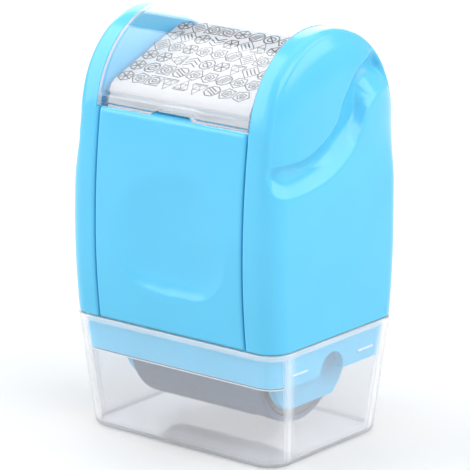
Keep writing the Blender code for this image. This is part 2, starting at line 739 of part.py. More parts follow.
def make_cheeks():
    """The right cheek as modelled, and the left one as its mirror image."""
    pocket = rounded_block(
        "chassis_pocket",
        (2 * (CHASSIS_HALF_WIDTH + SEAT_GAP), 2 * (CHASSIS_HALF_DEPTH + SEAT_GAP)),
        (2 * (CHASSIS_HALF_WIDTH + SEAT_GAP), 2 * (CHASSIS_HALF_DEPTH + SEAT_GAP)),
        SEAM_Z - CUT_OVER,
        CHASSIS_TOP_Z + SEAT_GAP,
        CORNER_RADIUS - CHASSIS_INSET,
    )
    bay = box(
        "window_bay",
        (0, -SHOULDER_DEPTH, PANEL_TOP_Z),
        (WINDOW_BAY_WIDTH / 2, SHOULDER_DEPTH, SHOULDER_Z + DOME_RISE + CUT_OVER),
    )
    inset = CHEEK_HOLLOW_WALL
    hollow_outline = arc(
        (0, SHOULDER_Z), DOME_RISE - inset, 0, math.pi, DOME_STEPS // 2
    ) + [(-CHASSIS_HALF_DEPTH, CHASSIS_TOP_Z), (CHASSIS_HALF_DEPTH, CHASSIS_TOP_Z)]
    hollow = side_slab(
        "dome_hollow",
        hollow_outline,
        WINDOW_BAY_WIDTH / 2 + inset,
        CHEEK_CREST + (BODY_WIDTH / 2 - CHEEK_CREST) * (1 - CHEEK_TUCK_SHARE) - inset,
    )
    pin_hole = rod(
        "cheek_pin_hole",
        PIN_RADIUS + RUN_GAP,
        0,
        WINDOW_BAY_WIDTH / 2 + PIN_GRIP + SEAT_GAP,
        HINGE_DEPTH,
        HINGE_Z,
        steps=12,
    )
    swoop = make_swoop("finger_groove")
    right = add_object("right_cheek", cheek_blank("right_cheek"), blue_gloss)
    cut(right, pocket, bay, hollow, pin_hole, swoop)
    bpy.context.view_layer.update()
    graph = bpy.context.evaluated_depsgraph_get()
    mesh = bpy.data.meshes.new_from_object(right.evaluated_get(graph))
    mesh.name = "left_cheek"
    mesh.transform(Matrix.Scale(-1, 4, (1, 0, 0)))
    mesh.flip_normals()
    left = add_object("left_cheek", mesh, blue_gloss)
    smooth(right, 25)
    smooth(left, 25)


# Label bed, card and filler tube
def bed_outline(lift, front_z):
    """The bed's side outline, or a face that is lifted off it, from the front up to the crest."""
    knee = (-BED_FRONT - lift, SHOULDER_Z + BED_KNEE_RISE + lift * (1 - math.sin(BED_SLOPE)))
    run = BED_FRONT + lift + BED_CREST_DEPTH
    crest = (BED_CREST_DEPTH, knee[1] + run * math.tan(BED_SLOPE))
    radius = BED_BEND + lift
    turn = math.pi / 2 - BED_SLOPE
    back_off = radius * math.tan(turn / 2)
    center = (knee[0] + radius, knee[1] - back_off)
    bend = arc(center, radius, math.pi, math.pi - turn, ROUND_STEPS)
    return [(knee[0], front_z)] + bend + [crest]


def make_bed():
    """The hollow label bed: a steep front wall, a long slope to read from, and a flange."""
    front = bed_outline(0, BED_Z)
    rear = [(BED_REAR, SHOULDER_Z + BED_REAR_RISE), (BED_REAR, BED_Z)]
    bed = side_slab("label_bed", front + rear, -BED_WIDTH / 2, BED_WIDTH / 2, blue_inner)
    inner_front = bed_outline(-BED_WALL, BED_Z - CUT_OVER)
    inner_rear = [
        (BED_REAR - BED_WALL, SHOULDER_Z + BED_REAR_RISE - BED_WALL),
        (BED_REAR - BED_WALL, BED_Z - CUT_OVER),
    ]
    hollow = side_slab(
        "bed_hollow", inner_front + inner_rear, BED_WALL - BED_WIDTH / 2, BED_WIDTH / 2 - BED_WALL
    )
    flange = box(
        "bed_flange",
        (-BED_WIDTH / 2, -BED_FLANGE_HALF, BED_Z),
        (BED_WIDTH / 2, BED_FLANGE_HALF, BED_Z + BED_FLANGE_THICKNESS),
    )
    hole = upright(
        "bed_hole",
        FILLER_RADIUS + SEAT_GAP,
        BED_Z - CUT_OVER,
        SEAM_Z + SHELL_HEIGHT,
        0,
        -FILLER_SHIFT,
    )
    join(bed, flange)
    cut(bed, hollow, hole)
    smooth(bed)

    outer = bed_outline(BED_LIFT, SHOULDER_Z + CARD_FRONT_RISE)
    inner = bed_outline(SEAT_GAP, SHOULDER_Z + CARD_FRONT_RISE)
    card = side_slab(
        "label_card", outer + inner[::-1], -CARD_WIDTH / 2, CARD_WIDTH / 2, card_stock
    )
    smooth(card)

    slope = math.tan(BED_SLOPE)
    roof_z = SHOULDER_Z + BED_KNEE_RISE + (BED_FRONT - FILLER_SHIFT - FILLER_RADIUS) * slope
    tube = upright(
        "filler_tube", FILLER_RADIUS, PAD_TOP_Z + SEAT_GAP, roof_z, 0, -FILLER_SHIFT, blue_inner
    )
    bore = upright(
        "filler_bore", FILLER_BORE, PAD_TOP_Z - CUT_OVER, roof_z + CUT_OVER, 0, -FILLER_SHIFT
    )
    cut(tube, bore)
    smooth(tube)


# Window
def make_window():
    """The clear arched lid with its front rail, thumb notch and hinge barrel, and its pin."""
    center = (0, WINDOW_AXIS_Z)
    inner_radius = WINDOW_RADIUS - WINDOW_WALL
    rear_rise = HINGE_Z - HINGE_BARREL_RADIUS - WINDOW_AXIS_Z  # so that the edge clears as it opens
    ends = []
    for radius in (WINDOW_RADIUS, inner_radius):
        ends.append((math.asin(rear_rise / radius), math.pi - math.asin(WINDOW_AXIS_DROP / radius)))
    outer = arc(center, WINDOW_RADIUS, ends[0][0], ends[0][1], DOME_STEPS)
    inner = arc(center, inner_radius, ends[1][1], ends[1][0], DOME_STEPS)
    window = side_slab(
        "window_cover", outer + inner, -WINDOW_WIDTH / 2, WINDOW_WIDTH / 2, clear_plastic
    )
    rail_y = -math.sqrt(inner_radius**2 - WINDOW_AXIS_DROP**2)
    rail = box(
        "window_rail",
        (-WINDOW_WIDTH / 2, rail_y - WINDOW_WALL / 2, SHOULDER_Z),
        (WINDOW_WIDTH / 2, rail_y + WINDOW_LIP, SHOULDER_Z + WINDOW_LIP_HEIGHT),
    )
    barrel = rod(
        "window_barrel",
        HINGE_BARREL_RADIUS,
        -WINDOW_WIDTH / 2,
        WINDOW_WIDTH / 2,
        HINGE_DEPTH,
        HINGE_Z,
    )
    bore = rod(
        "window_bore",
        PIN_RADIUS + RUN_GAP,
        -WINDOW_WIDTH / 2 - CUT_OVER,
        WINDOW_WIDTH / 2 + CUT_OVER,
        HINGE_DEPTH,
        HINGE_Z,
        steps=12,
    )
    notch = box(
        "thumb_notch",
        (-THUMB_NOTCH_WIDTH / 2, -WINDOW_RADIUS - CUT_OVER, SHOULDER_Z - CUT_OVER),
        (THUMB_NOTCH_WIDTH / 2, -BED_FRONT, SHOULDER_Z + THUMB_NOTCH_HEIGHT),
    )
    join(window, rail, barrel)
    cut(window, bore, notch)
    smooth(window)
    reach = WINDOW_BAY_WIDTH / 2 + PIN_GRIP
    smooth(rod("window_hinge_pin", PIN_RADIUS, -reach, reach, HINGE_DEPTH, HINGE_Z, steel, steps=12))


# Roller cartridge
def make_side_plates():
    """The two side plates whose round lobes show under the neck, and the bridge over them."""
    lobe_z = SEAM_Z - PLATE_LOBE_DROP
    flat_z = SEAM_Z - PLATE_CUT_DROP
    low = math.asin((flat_z - lobe_z) / PLATE_HALF_DEPTH)
    outline = (
        arc((0, lobe_z), PLATE_HALF_DEPTH, low, 0, OUTLINE_STEPS)
        + [(PLATE_HALF_DEPTH, PLATE_TOP_Z), (-PLATE_HALF_DEPTH, PLATE_TOP_Z)]
        + arc((0, lobe_z), PLATE_HALF_DEPTH, -math.pi, -math.pi - low, OUTLINE_STEPS)
    )
    for side, name in ((-1, "left_side_plate"), (1, "right_side_plate")):
        ends = sorted((side * PLATE_INNER, side * PLATE_OUTER))
        plate = side_slab(name, outline, ends[0], ends[1], blue_inner)
        for radius, height, what in (
            (AXLE_RADIUS, DRUM_Z, "drum"),
            (INK_AXLE_RADIUS, INK_Z, "ink"),
        ):
            hole_ends = sorted((0, side * (PLATE_INNER + AXLE_GRIP + RUN_GAP)))
            hole = rod(
                f"{name}_{what}_hole", radius + RUN_GAP, hole_ends[0], hole_ends[1], 0, height
            )
            cut(plate, hole)
        smooth(plate)
    bridge = box(
        "cartridge_bridge",
        (-PLATE_OUTER, -PLATE_HALF_DEPTH, BRIDGE_Z),
        (PLATE_OUTER, PLATE_HALF_DEPTH, BRIDGE_TOP_Z),
        blue_inner,
    )
    hole = upright(
        "bridge_hole",
        FILLER_RADIUS + SEAT_GAP,
        BRIDGE_Z - CUT_OVER,
        BRIDGE_TOP_Z + CUT_OVER,
        0,
        -FILLER_SHIFT,
    )
    cut(bridge, hole)
    smooth(bridge)


def make_drum():
    """The printing drum: a moulded core, two flanged bushes and a rubber sleeve on a steel axle."""
    half = DRUM_LENGTH / 2
    rim = DRUM_RADIUS - SLEEVE_THICKNESS - SEAT_GAP
    bore = AXLE_RADIUS + RUN_GAP + BUSH_WALL + RUN_GAP
    hub_end = half - SEAT_GAP
    floor = half - DRUM_RECESS
    turned(
        "drum_core",
        [
            (half, rim),
            (half, rim - DRUM_RIM_WALL),
            (floor, rim - DRUM_RIM_WALL),
            (floor, DRUM_HUB_RADIUS),
            (hub_end, DRUM_HUB_RADIUS),
            (hub_end, bore),
            (-hub_end, bore),
            (-hub_end, DRUM_HUB_RADIUS),
            (-floor, DRUM_HUB_RADIUS),
            (-floor, rim - DRUM_RIM_WALL),
            (-half, rim - DRUM_RIM_WALL),
            (-half, rim),
        ],
        DRUM_Z,
        grey_plastic,
    )
    inner = DRUM_RADIUS - SLEEVE_THICKNESS
    turned(
        "stamp_sleeve",
        [(half, DRUM_RADIUS), (half, inner), (-half, inner), (-half, DRUM_RADIUS)],
        DRUM_Z,
        black_rubber,
        steps=2 * TURN_STEPS - TURN_STEPS // 2,
    )
    hole = AXLE_RADIUS + RUN_GAP
    for side, name in ((-1, "left_drum_bush"), (1, "right_drum_bush")):
        seat = side * half
        profile = [
            (seat + side * BUSH_FLANGE, BUSH_FLANGE_RADIUS),
            (seat, BUSH_FLANGE_RADIUS),
            (seat, hole + BUSH_WALL),
            (seat - side * BUSH_LENGTH, hole + BUSH_WALL),
            (seat - side * BUSH_LENGTH, hole),
            (seat + side * BUSH_FLANGE, hole),
        ]
        turned(name, profile if side < 0 else profile[::-1], DRUM_Z, white_plastic, SMALL_TURN_STEPS)
    reach = PLATE_INNER + AXLE_GRIP
    smooth(rod("drum_axle", AXLE_RADIUS, -reach, reach, 0, DRUM_Z, steel))


def make_ink_roller():
    """The foam inking roller above the drum, on its own axle, and the felt pad that feeds it."""
    half = INK_LENGTH / 2
    foam_bore = INK_CORE_RADIUS + SEAT_GAP
    core_half = PLATE_INNER - SEAT_GAP
    core_bore = INK_AXLE_RADIUS + RUN_GAP
    turned(
        "ink_roller_foam",
        [(half, INK_RADIUS), (half, foam_bore), (-half, foam_bore), (-half, INK_RADIUS)],
        INK_Z,
        ink_felt,
    )
    turned(
        "ink_roller_core",
        [
            (core_half, INK_CORE_RADIUS),
            (core_half, core_bore),
            (-core_half, core_bore),
            (-core_half, INK_CORE_RADIUS),
        ],
        INK_Z,
        white_plastic,
        SMALL_TURN_STEPS,
    )
    reach = PLATE_INNER + AXLE_GRIP
    smooth(rod("ink_roller_axle", INK_AXLE_RADIUS, -reach, reach, 0, INK_Z, steel))
    box(
        "ink_pad",
        (-PAD_LENGTH / 2, -PAD_DEPTH / 2, PAD_Z),
        (PAD_LENGTH / 2, PAD_DEPTH / 2, PAD_TOP_Z),
        ink_felt,
    )


make_cap()
make_chassis()
make_panel("front_panel", 0)
make_panel("rear_panel", math.pi)
make_cheeks()
make_bed()
make_window()
make_side_plates()
make_drum()
make_ink_roller()
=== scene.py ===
import math

import bmesh
import bpy
import numpy as np
from mathutils import Matrix, Vector


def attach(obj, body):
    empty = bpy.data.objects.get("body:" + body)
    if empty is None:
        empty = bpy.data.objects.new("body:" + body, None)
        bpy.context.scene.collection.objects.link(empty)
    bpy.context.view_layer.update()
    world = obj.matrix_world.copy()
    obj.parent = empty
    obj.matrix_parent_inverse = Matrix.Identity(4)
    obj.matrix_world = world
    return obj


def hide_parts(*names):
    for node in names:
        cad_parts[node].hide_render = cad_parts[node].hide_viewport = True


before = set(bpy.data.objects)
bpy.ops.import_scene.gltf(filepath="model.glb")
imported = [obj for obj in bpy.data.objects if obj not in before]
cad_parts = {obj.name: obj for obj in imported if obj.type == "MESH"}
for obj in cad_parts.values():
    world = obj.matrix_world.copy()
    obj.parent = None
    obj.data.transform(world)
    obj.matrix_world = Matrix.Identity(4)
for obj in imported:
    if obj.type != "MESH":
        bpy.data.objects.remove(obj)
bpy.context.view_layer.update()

mm = 0.001
print("frame loaded with", len(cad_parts), "CAD nodes")

# everything below is in millimetres, in the CAD frame, and becomes metres when a mesh is made
shell = {
    "seamZ": 19.8,
    "shoulder": 35.4,  # heights from here on are above the seam
    "waist": 14.51,
    "halfSeam": 16.3,
    "halfWaist": 17.25,
    "halfShoulder": 15.7,
    "rearDraw": 0.1,  # the rear draws in by this share of what the front does above the waist
    "domeAxis": 33.6,
    "domeTall": 16.08,
    "domeFront": 15.8,
    "domeRear": 17.1,
    "crownRise": 0.45,  # the top of the window's arch stands this much above a true circle
}


def smoothStep(low, high, value):
    share = np.clip((np.asarray(value, float) - low) / (high - low), 0, 1)
    return share * share * (3 - 2 * share)


def halfDepth(height, side=-1):
    height = np.asarray(height, float)
    flare = shell["halfWaist"] - shell["halfSeam"]
    low = shell["halfWaist"] - flare * (1 - height / shell["waist"]) ** 2
    rise = (height - shell["waist"]) / (shell["shoulder"] - shell["waist"])
    draw = (shell["halfWaist"] - shell["halfShoulder"]) * (shell["rearDraw"] if side > 0 else 1)
    high = shell["halfWaist"] - draw * rise**2
    return np.where(height < shell["waist"], low, high)


def setAll(thing, **settings):
    for key, value in settings.items():
        setattr(thing, key, value)
    return thing


def newMesh(name, points, faces, scale=mm):
    mesh = bpy.data.meshes.new(name)
    mesh.from_pydata((np.asarray(points, float) * scale).tolist(), [], faces)
    mesh.update()
    return mesh


def tidyMesh(mesh, weld=0.0002, sharpAngle=32):
    bm = bmesh.new()
    bm.from_mesh(mesh)
    bmesh.ops.remove_doubles(bm, verts=bm.verts, dist=weld * mm)
    bmesh.ops.dissolve_degenerate(bm, edges=bm.edges, dist=weld * mm)
    bmesh.ops.recalc_face_normals(bm, faces=bm.faces)
    bm.to_mesh(mesh)
    bm.free()
    mesh.shade_smooth()
    mesh.set_sharp_from_angle(angle=math.radians(sharpAngle))


def dress(mesh, *materials):
    mesh.materials.clear()
    for material in materials:
        mesh.materials.append(material)


def newObject(name, mesh, material=None):
    piece = bpy.data.objects.new(name, mesh)
    bpy.context.scene.collection.objects.link(piece)
    if material:
        dress(mesh, material)
    return piece


def bakeModifiers(piece):
    bpy.context.view_layer.update()
    graph = bpy.context.evaluated_depsgraph_get()
    mesh = bpy.data.meshes.new_from_object(piece.evaluated_get(graph))
    old = piece.data
    piece.modifiers.clear()
    piece.data = mesh
    mesh.name = piece.name
    bpy.data.meshes.remove(old)
    return mesh


def carve(piece, *cutters, operation="DIFFERENCE"):
    for cutter in cutters:
        setAll(piece.modifiers.new("carve", "BOOLEAN"), operation=operation, solver="MANIFOLD", object=cutter)
    mesh = bakeModifiers(piece)
    for cutter in cutters:
        bpy.data.objects.remove(cutter)
    return mesh


def closedLoops(loops, fillEnds=True):
    count = len(loops[0])
    points = np.concatenate(loops)
    faces = []
    for a in range(0, (len(loops) - 1) * count, count):
        for i in range(count):
            j = (i + 1) % count
            faces.append((a + i, a + j, a + count + j, a + count + i))
    if fillEnds:
        faces.append(tuple(range(count))[::-1])
        faces.append(tuple(range(len(points) - count, len(points))))
    return points, faces


def solidFrom(name, loops):
    mesh = newMesh(name, *closedLoops(loops))
    tidyMesh(mesh)
    return newObject(name, mesh)


def slab(name, outline, lowX, highX):
    return solidFrom(name, [np.array([(x, y, z) for y, z in outline]) for x in (lowX, highX)])


hinge = {"y": 14.3, "z": 56.8, "boreRadius": 0.62}


def hingeRod(name, radius, lowX, highX, steps):
    turn = np.linspace(0, 2 * math.pi, steps, endpoint=False)
    outline = list(zip(hinge["y"] + radius * np.cos(turn), hinge["z"] + radius * np.sin(turn)))
    return slab(name, outline, lowX, highX)


def roundedOutline(halfX, halfY, radius, steps=14, between=0):
    # between is how many points each straight side gets
    corners = []
    for signX, signY, start in ((1, 1, 0), (-1, 1, 90), (-1, -1, 180), (1, -1, 270)):
        turn = np.radians(start + 90 * np.arange(steps + 1) / steps)
        centre = np.array([signX * (halfX - radius), signY * (halfY - radius)])
        corners.append(centre + radius * np.column_stack([np.cos(turn), np.sin(turn)]))
    points = []
    share = (np.arange(between) + 1)[:, None] / (between + 1)
    for corner, following in zip(corners, corners[1:] + corners[:1]):
        points += [corner, corner[-1] * (1 - share) + following[0] * share]
    return np.vstack(points)


def feed(tree, node, inputs):
    # gives each socket, by name or number, a value or the output of another node
    for key, value in inputs.items():
        if isinstance(value, bpy.types.NodeSocket):
            tree.links.new(value, node.inputs[key])
        else:
            node.inputs[key].default_value = value


def addNode(tree, kind, inputs={}, **settings):
    node = setAll(tree.nodes.new(kind), **settings)
    feed(tree, node, inputs)
    return node


def mathNode(tree, operation, *values):
    return addNode(tree, "ShaderNodeMath", dict(enumerate(values)), operation=operation).outputs[0]


def times(tree, first, second):
    return mathNode(tree, "MULTIPLY", first, second)


# materials: one builder for moulded plastics, and small ones for the rest
noiseRange = (0.3, 0.7)  # where most values of a noise lie


def startMaterial(name):
    material = bpy.data.materials.new(name)
    material.use_nodes = True
    tree = material.node_tree
    return material, tree, tree.nodes["Principled BSDF"]


def objectPlace(tree):
    return addNode(tree, "ShaderNodeTexCoord").outputs["Object"]


def objectNoise(tree, scale, detail=2.0, stretch=None):
    place = objectPlace(tree)
    if stretch:
        place = addNode(tree, "ShaderNodeMapping", {"Vector": place, "Scale": stretch}).outputs["Vector"]
    return addNode(tree, "ShaderNodeTexNoise", {"Vector": place, "Scale": scale, "Detail": detail}).outputs["Fac"]


def spread(tree, source, low, high):
    ranger = addNode(tree, "ShaderNodeMapRange", {
        "Value": source, "From Min": noiseRange[0], "From Max": noiseRange[1], "To Min": low, "To Max": high,
    })
    return ranger.outputs["Result"]


def grainBump(tree, height, strength, distance=0.0002):
    grain = {"Height": height, "Strength": strength, "Distance": distance}
    return addNode(tree, "ShaderNodeBump", grain).outputs["Normal"]


def layTone(tree, amount, tone, blend="MIX"):
    # lays a tone over the base colour made so far
    base = tree.nodes["Principled BSDF"].inputs["Base Color"]
    colours = {"Fac": amount, "Color1": base.links[0].from_socket, "Color2": tone}
    mix = addNode(tree, "ShaderNodeMixRGB", colours, blend_type=blend)
    tree.links.new(mix.outputs["Color"], base)


def mouldedPlastic(name, colour, rough, grain=0.02, grainScale=900, vary=0.03, **sockets):
    material, tree, shader = startMaterial(name)
    ramp = addNode(tree, "ShaderNodeValToRGB", {"Fac": objectNoise(tree, 55)})
    for element, place, tone in zip(ramp.color_ramp.elements, noiseRange, (1 - vary, 1 + vary)):
        element.position = place
        element.color = [min(1, c * tone) for c in colour] + [1]
    fine = objectNoise(tree, grainScale * 4)
    feed(tree, shader, {
        "Base Color": ramp.outputs["Color"], "Roughness": spread(tree, fine, rough * 0.85, rough * 1.15),
        "Normal": grainBump(tree, fine, grain), **{name.replace("_", " "): sockets[name] for name in sockets},
    })
    return material


def letLampsThrough(material, tint):
    # lamps light what lies behind clear plastic, which bent light alone would leave dark
    tree = material.node_tree
    through = addNode(tree, "ShaderNodeBsdfTransparent", {"Color": (*tint, 1)})
    mix = addNode(tree, "ShaderNodeMixShader", {
        "Fac": addNode(tree, "ShaderNodeLightPath").outputs["Is Shadow Ray"],
        1: tree.nodes["Principled BSDF"].outputs["BSDF"], 2: through.outputs["BSDF"],
    })
    tree.links.new(mix.outputs["Shader"], tree.nodes["Material Output"].inputs["Surface"])


def frostFromAttributes(material, clearest, floorToneAndShade):
    # the cap's mesh says where its plastic is whiter, including a painted highlight streak at each corner, and where
    # its floor is darker, partly from absorption in the floor and partly as painted shade
    tree = material.node_tree
    frost, shade = (
        addNode(tree, "ShaderNodeAttribute", attribute_name=label).outputs["Fac"] for label in ("frost", "shade")
    )
    ranger = addNode(tree, "ShaderNodeMapRange", {"Value": frost, "To Min": clearest, "To Max": 0.0})
    feed(tree, tree.nodes["Principled BSDF"], {"Transmission Weight": ranger.outputs["Result"]})
    layTone(tree, shade, floorToneAndShade, "MULTIPLY")


def linear(red, green, blue):
    return [((c / 255 + 0.055) / 1.055) ** 2.4 if c > 10 else c / 255 / 12.92 for c in (red, green, blue)]


gloss = mouldedPlastic("sky blue shell", [0.092, 0.50, 0.77], 0.2, grain=0.012, IOR=1.5)
# lighter than the shell's blue, as painted light for parts that lie in shade behind the clear and frosted plastic
insidePlastic = mouldedPlastic("sky blue inside", [0.06, 0.57, 0.91], 0.35, grain=0.04, IOR=1.5)
whitePlastic = mouldedPlastic("natural acetal", linear(238, 239, 240), 0.4, grain=0.03)
greyPlastic = mouldedPlastic("grey core plastic", linear(92, 98, 108), 0.5, grain=0.08)
rubber = mouldedPlastic("stamp rubber", linear(77, 98, 129), 0.6, grain=0.15, vary=0.1)
clear = mouldedPlastic(
    "clear styrene", [0.95, 0.953, 0.962], 0.015, grain=0.0, vary=0.003,
    Transmission_Weight=1.0, IOR=1.49,
)
letLampsThrough(clear, (0.95, 0.96, 0.97))
clearEdge = mouldedPlastic(
    "edge of the clear styrene", [0.74, 0.80, 0.93], 0.35, grain=0.02, vary=0.01,
    Transmission_Weight=0.35, IOR=1.49,
)
letLampsThrough(clearEdge, (0.9, 0.91, 0.93))
frosted = mouldedPlastic(
    "frosted cap plastic", [0.925, 0.93, 0.94], 0.07, grain=0.012, grainScale=500, vary=0.01,
    Transmission_Weight=0.9, IOR=1.3,
)
# the floor's darker tone is partly absorption and partly painted shade
frostFromAttributes(frosted, 0.9, (0.71, 0.715, 0.73, 1))
letLampsThrough(frosted, (0.85, 0.86, 0.88))
cardStock = mouldedPlastic("white card", [0.49, 0.50, 0.52], 0.6, grain=0.06, grainScale=1400, vary=0.006)
blackPrint = mouldedPlastic("black print", linear(24, 24, 28), 0.5, grain=0.03, vary=0.1)

neck = {
    # lighter still than the inside's blue: painted light for the neck, which lies in shade within the cap
    "colour": [0.07, 0.63, 0.96],
    "frontY": -12.0,  # the painted highlight on the lower edge and the painted shade above it show in front of this
    # below the first height the lower edge gets a painted highlight, below the second a painted shade
    "highlightEdgeZ": 13.58,
    "shadeZ": 13.78,
    "ridgeX": 20.05,  # the ridges lie further out than this
    "ridgeY": 10.8,
    "ridgeLow": 15.25,
    "ridgeHigh": 15.6,
    "paintedShadeTone": (0.05, 0.15, 0.22, 1),
    "paintedHighlightTone": (0.9, 0.95, 1.0, 1),
}


def neckPlastic():
    # as the inside but lighter still, as painted light, with a thin painted shade above a painted highlight along its
    # lower edge, and painted highlights on four ridges
    n = neck
    material = mouldedPlastic("sky blue neck", n["colour"], 0.35, grain=0.04, IOR=1.5)
    tree = material.node_tree
    x, y, z = addNode(tree, "ShaderNodeSeparateXYZ", {"Vector": objectPlace(tree)}).outputs

    def below(value, limit):
        return mathNode(tree, "LESS_THAN", value, limit * mm)

    def above(value, limit):
        return mathNode(tree, "GREATER_THAN", value, limit * mm)

    front = below(y, n["frontY"])
    ridgeHighlight = above(mathNode(tree, "ABSOLUTE", x), n["ridgeX"])
    for test in (below(mathNode(tree, "ABSOLUTE", y), n["ridgeY"]), above(z, n["ridgeLow"]), below(z, n["ridgeHigh"])):
        ridgeHighlight = times(tree, ridgeHighlight, test)
    # painted shade in a thin band, then painted highlights on the lower edge and on the ridges
    edge = times(tree, front, below(z, n["highlightEdgeZ"]))
    layTone(tree, times(tree, front, below(z, n["shadeZ"])), n["paintedShadeTone"])
    layTone(tree, mathNode(tree, "MAXIMUM", edge, ridgeHighlight), n["paintedHighlightTone"])
    return material


def feltMaterial():
    material, tree, shader = startMaterial("ink soaked foam")
    cells = addNode(tree, "ShaderNodeTexVoronoi", {"Vector": objectPlace(tree), "Scale": 2600}).outputs["Distance"]
    ramp = addNode(tree, "ShaderNodeValToRGB", {"Fac": cells})
    ramp.color_ramp.elements[0].color = (0.006, 0.006, 0.008, 1)
    ramp.color_ramp.elements[1].color = (0.035, 0.035, 0.042, 1)
    feed(tree, shader, {
        "Base Color": ramp.outputs["Color"], "Normal": grainBump(tree, cells, 0.6), "Roughness": 0.75,
        "Sheen Weight": 0.15,
    })
    return material


def steelMaterial():
    material, tree, shader = startMaterial("drawn steel")
    drawn = objectNoise(tree, 900, 3.0, (0.04, 1.0, 1.0))
    feed(tree, shader, {
        "Base Color": (0.6, 0.61, 0.63, 1), "Metallic": 1.0, "Roughness": spread(tree, drawn, 0.22, 0.4),
        "Normal": grainBump(tree, drawn, 0.1, 0.0001),
    })
    return material


for material, nodes in (
    (neckPlastic(), ["chassis"]),
    (insidePlastic, ["label_bed", "filler_tube", "cartridge_bridge", "left_side_plate", "right_side_plate"]),
    (steelMaterial(), ["window_hinge_pin", "drum_axle", "ink_roller_axle"]),
    (feltMaterial(), ["ink_pad", "ink_roller_foam"]),
    (whitePlastic, ["ink_roller_core", "left_drum_bush", "right_drum_bush"]),
    (greyPlastic, ["drum_core"]),
):
    for node in nodes:
        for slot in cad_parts[node].material_slots:
            slot.material = material
print("materials made and given to the carried CAD nodes")

# cheeks
cheek = {
    "backX": 15.35,  # flat inner face
    "bayX": 15.72,  # inner face beside the window
    "lowBackX": 16.5,  # same, below the window
    "bayFade": (32.5, 36.5),  # heights between which one turns into the other
    "sideX": 17.6,  # where the rounded corner starts
    "rimX": 17.9,  # same, round the window
    "cornerRadius": 3.9,
    "bulge": 0.4,
    "bulgeMiddle": 17,
    "bulgeReach": 13,
    "rimWidth": 1.15,
    "rimRound": 1.45,
    "rimRise": 1.78,
    "rimShare": 0.793,  # of the rim's rounding, up to the pillow
    "flushRadius": 15.95,  # the rim slopes down to this beside the window
    "slopeFade": (-0.5, 2.5),  # the slope starts between these heights above the shoulder
    "pillowFoot": 1.741,
    "pillowRise": 2.17,
    "pillowEase": 3.4,
    "rimFrom": 22.0,  # heights between which the body corner turns into the rim
    "rimTo": 33.0,
    "edgeRound": 0.25,
    "seamRound": 0.55,
    "edgeRows": [0, 0.04, 0.12, 0.25],
    "firstRow": 0.45,
    "rows": 190,
    "domeColumns": 290,
    "rings": 96,
    "pocketHalf": (20.05, 15.1),  # the space for the chassis
    "pocketCorner": 2.4,
    "pocketHeights": (19.0, 48.4),
    "bayOutline": [(-17, 54.9), (17, 54.9), (17, 72), (-17, 72)],
    "cutFrom": 10,
    "pinHoleEnd": 17.5,
}
groove = {
    "depth": 2.1,
    "steepness": 0.53,
    "floorWidth": (0.3, 6),
    "wallPower": 1.7,  # makes the wall steepest at its crisp upper edge
    "soft": 0.2,
    "spots": (6, 0.22, 0.13),  # how many lie round the middle one, and the weights of the middle and of each
    "rimFade": (0.2, 1.9),
    "chassisHalf": (20.22, 15.1),  # the groove stays outside this rounded box
    "chassisCorner": 2.7,
    "chassisTop": 28.6,
    "frontTop": 1.4,  # the box stands this much higher at the front
    "frontFrom": (-8.5, -11.5),
    "topEase": 1.6,
    "freeTop": 4,  # how much deeper the groove may go above the box
    "endEase": 0.4,
    "freeEnd": 30,  # same, in front of and behind it
}
# the finger groove's edges seen from the side, as depth and height above the seam
grooveTop = [
    (-16.9, 30.1), (-15.1, 30.4), (-11.8, 30.6), (-8.0, 31.2), (-4.2, 32.9), (-1.1, 35.3), (0.4, 38.3),
    (2.1, 40.4), (4.6, 42.8), (7.7, 44.0), (11, 45.0), (14, 45.2),
]
grooveFoot = [
    (-16.4, 28.9), (-15.5, 28.6), (-13.9, 28.2), (-10.5, 28.2), (-7.2, 28.4), (-4.3, 29.1), (-1.2, 30.3), (1.5, 32.1),
    (4.6, 34.1), (6.1, 36.2), (6.1, 37.9), (6.9, 39.8), (8.9, 40.9), (11.6, 41.3), (14.7, 41.7), (18.5, 41.7),
]
grooveLow = [
    (-16.6, 29.0), (-16.3, 27.4), (-15.5, 26.1), (-14.3, 25.4), (-11.7, 25.0), (-8.7, 25.2), (-5.4, 25.8),
    (-2.3, 26.7), (0.6, 28.1), (3.7, 30.2), (5.5, 32.7), (6.8, 35.0), (7.9, 36.5), (10, 37.6),
    (12.7, 38.2), (17.5, 38.2),
]


def smoothPath(points, steps=8):
    points = np.array(points, float)
    padded = np.vstack([2 * points[0] - points[1], points, 2 * points[-1] - points[-2]])
    path = []
    for i in range(1, len(padded) - 2):
        p0, p1, p2, p3 = padded[i - 1 : i + 3]
        for step in range(steps):
            t = step / steps
            path.append(
                0.5 * (2 * p1 + (p2 - p0) * t + (2 * p0 - 5 * p1 + 4 * p2 - p3) * t**2
                       + (3 * p1 - p0 - 3 * p2 + p3) * t**3)
            )
    path.append(points[-1])
    return np.array(path)


def distanceTo(path, points):
    best = np.full(len(points), 1e9)
    for start, end in zip(path[:-1], path[1:]):
        run = end - start
        share = np.clip(((points - start) @ run) / max(run @ run, 1e-12), 0, 1)
        best = np.minimum(best, np.linalg.norm(points - start - share[:, None] * run, axis=1))
    return best


def insideOf(polygon, points):
    inside = np.zeros(len(points), bool)
    x, y = points[:, 0], points[:, 1]
    for (x0, y0), (x1, y1) in zip(polygon, np.roll(polygon, -1, axis=0)):
        crosses = (y0 > y) != (y1 > y)
        if y0 != y1:
            inside ^= crosses & (x < (x1 - x0) * (y - y0) / (y1 - y0) + x0)
    return inside


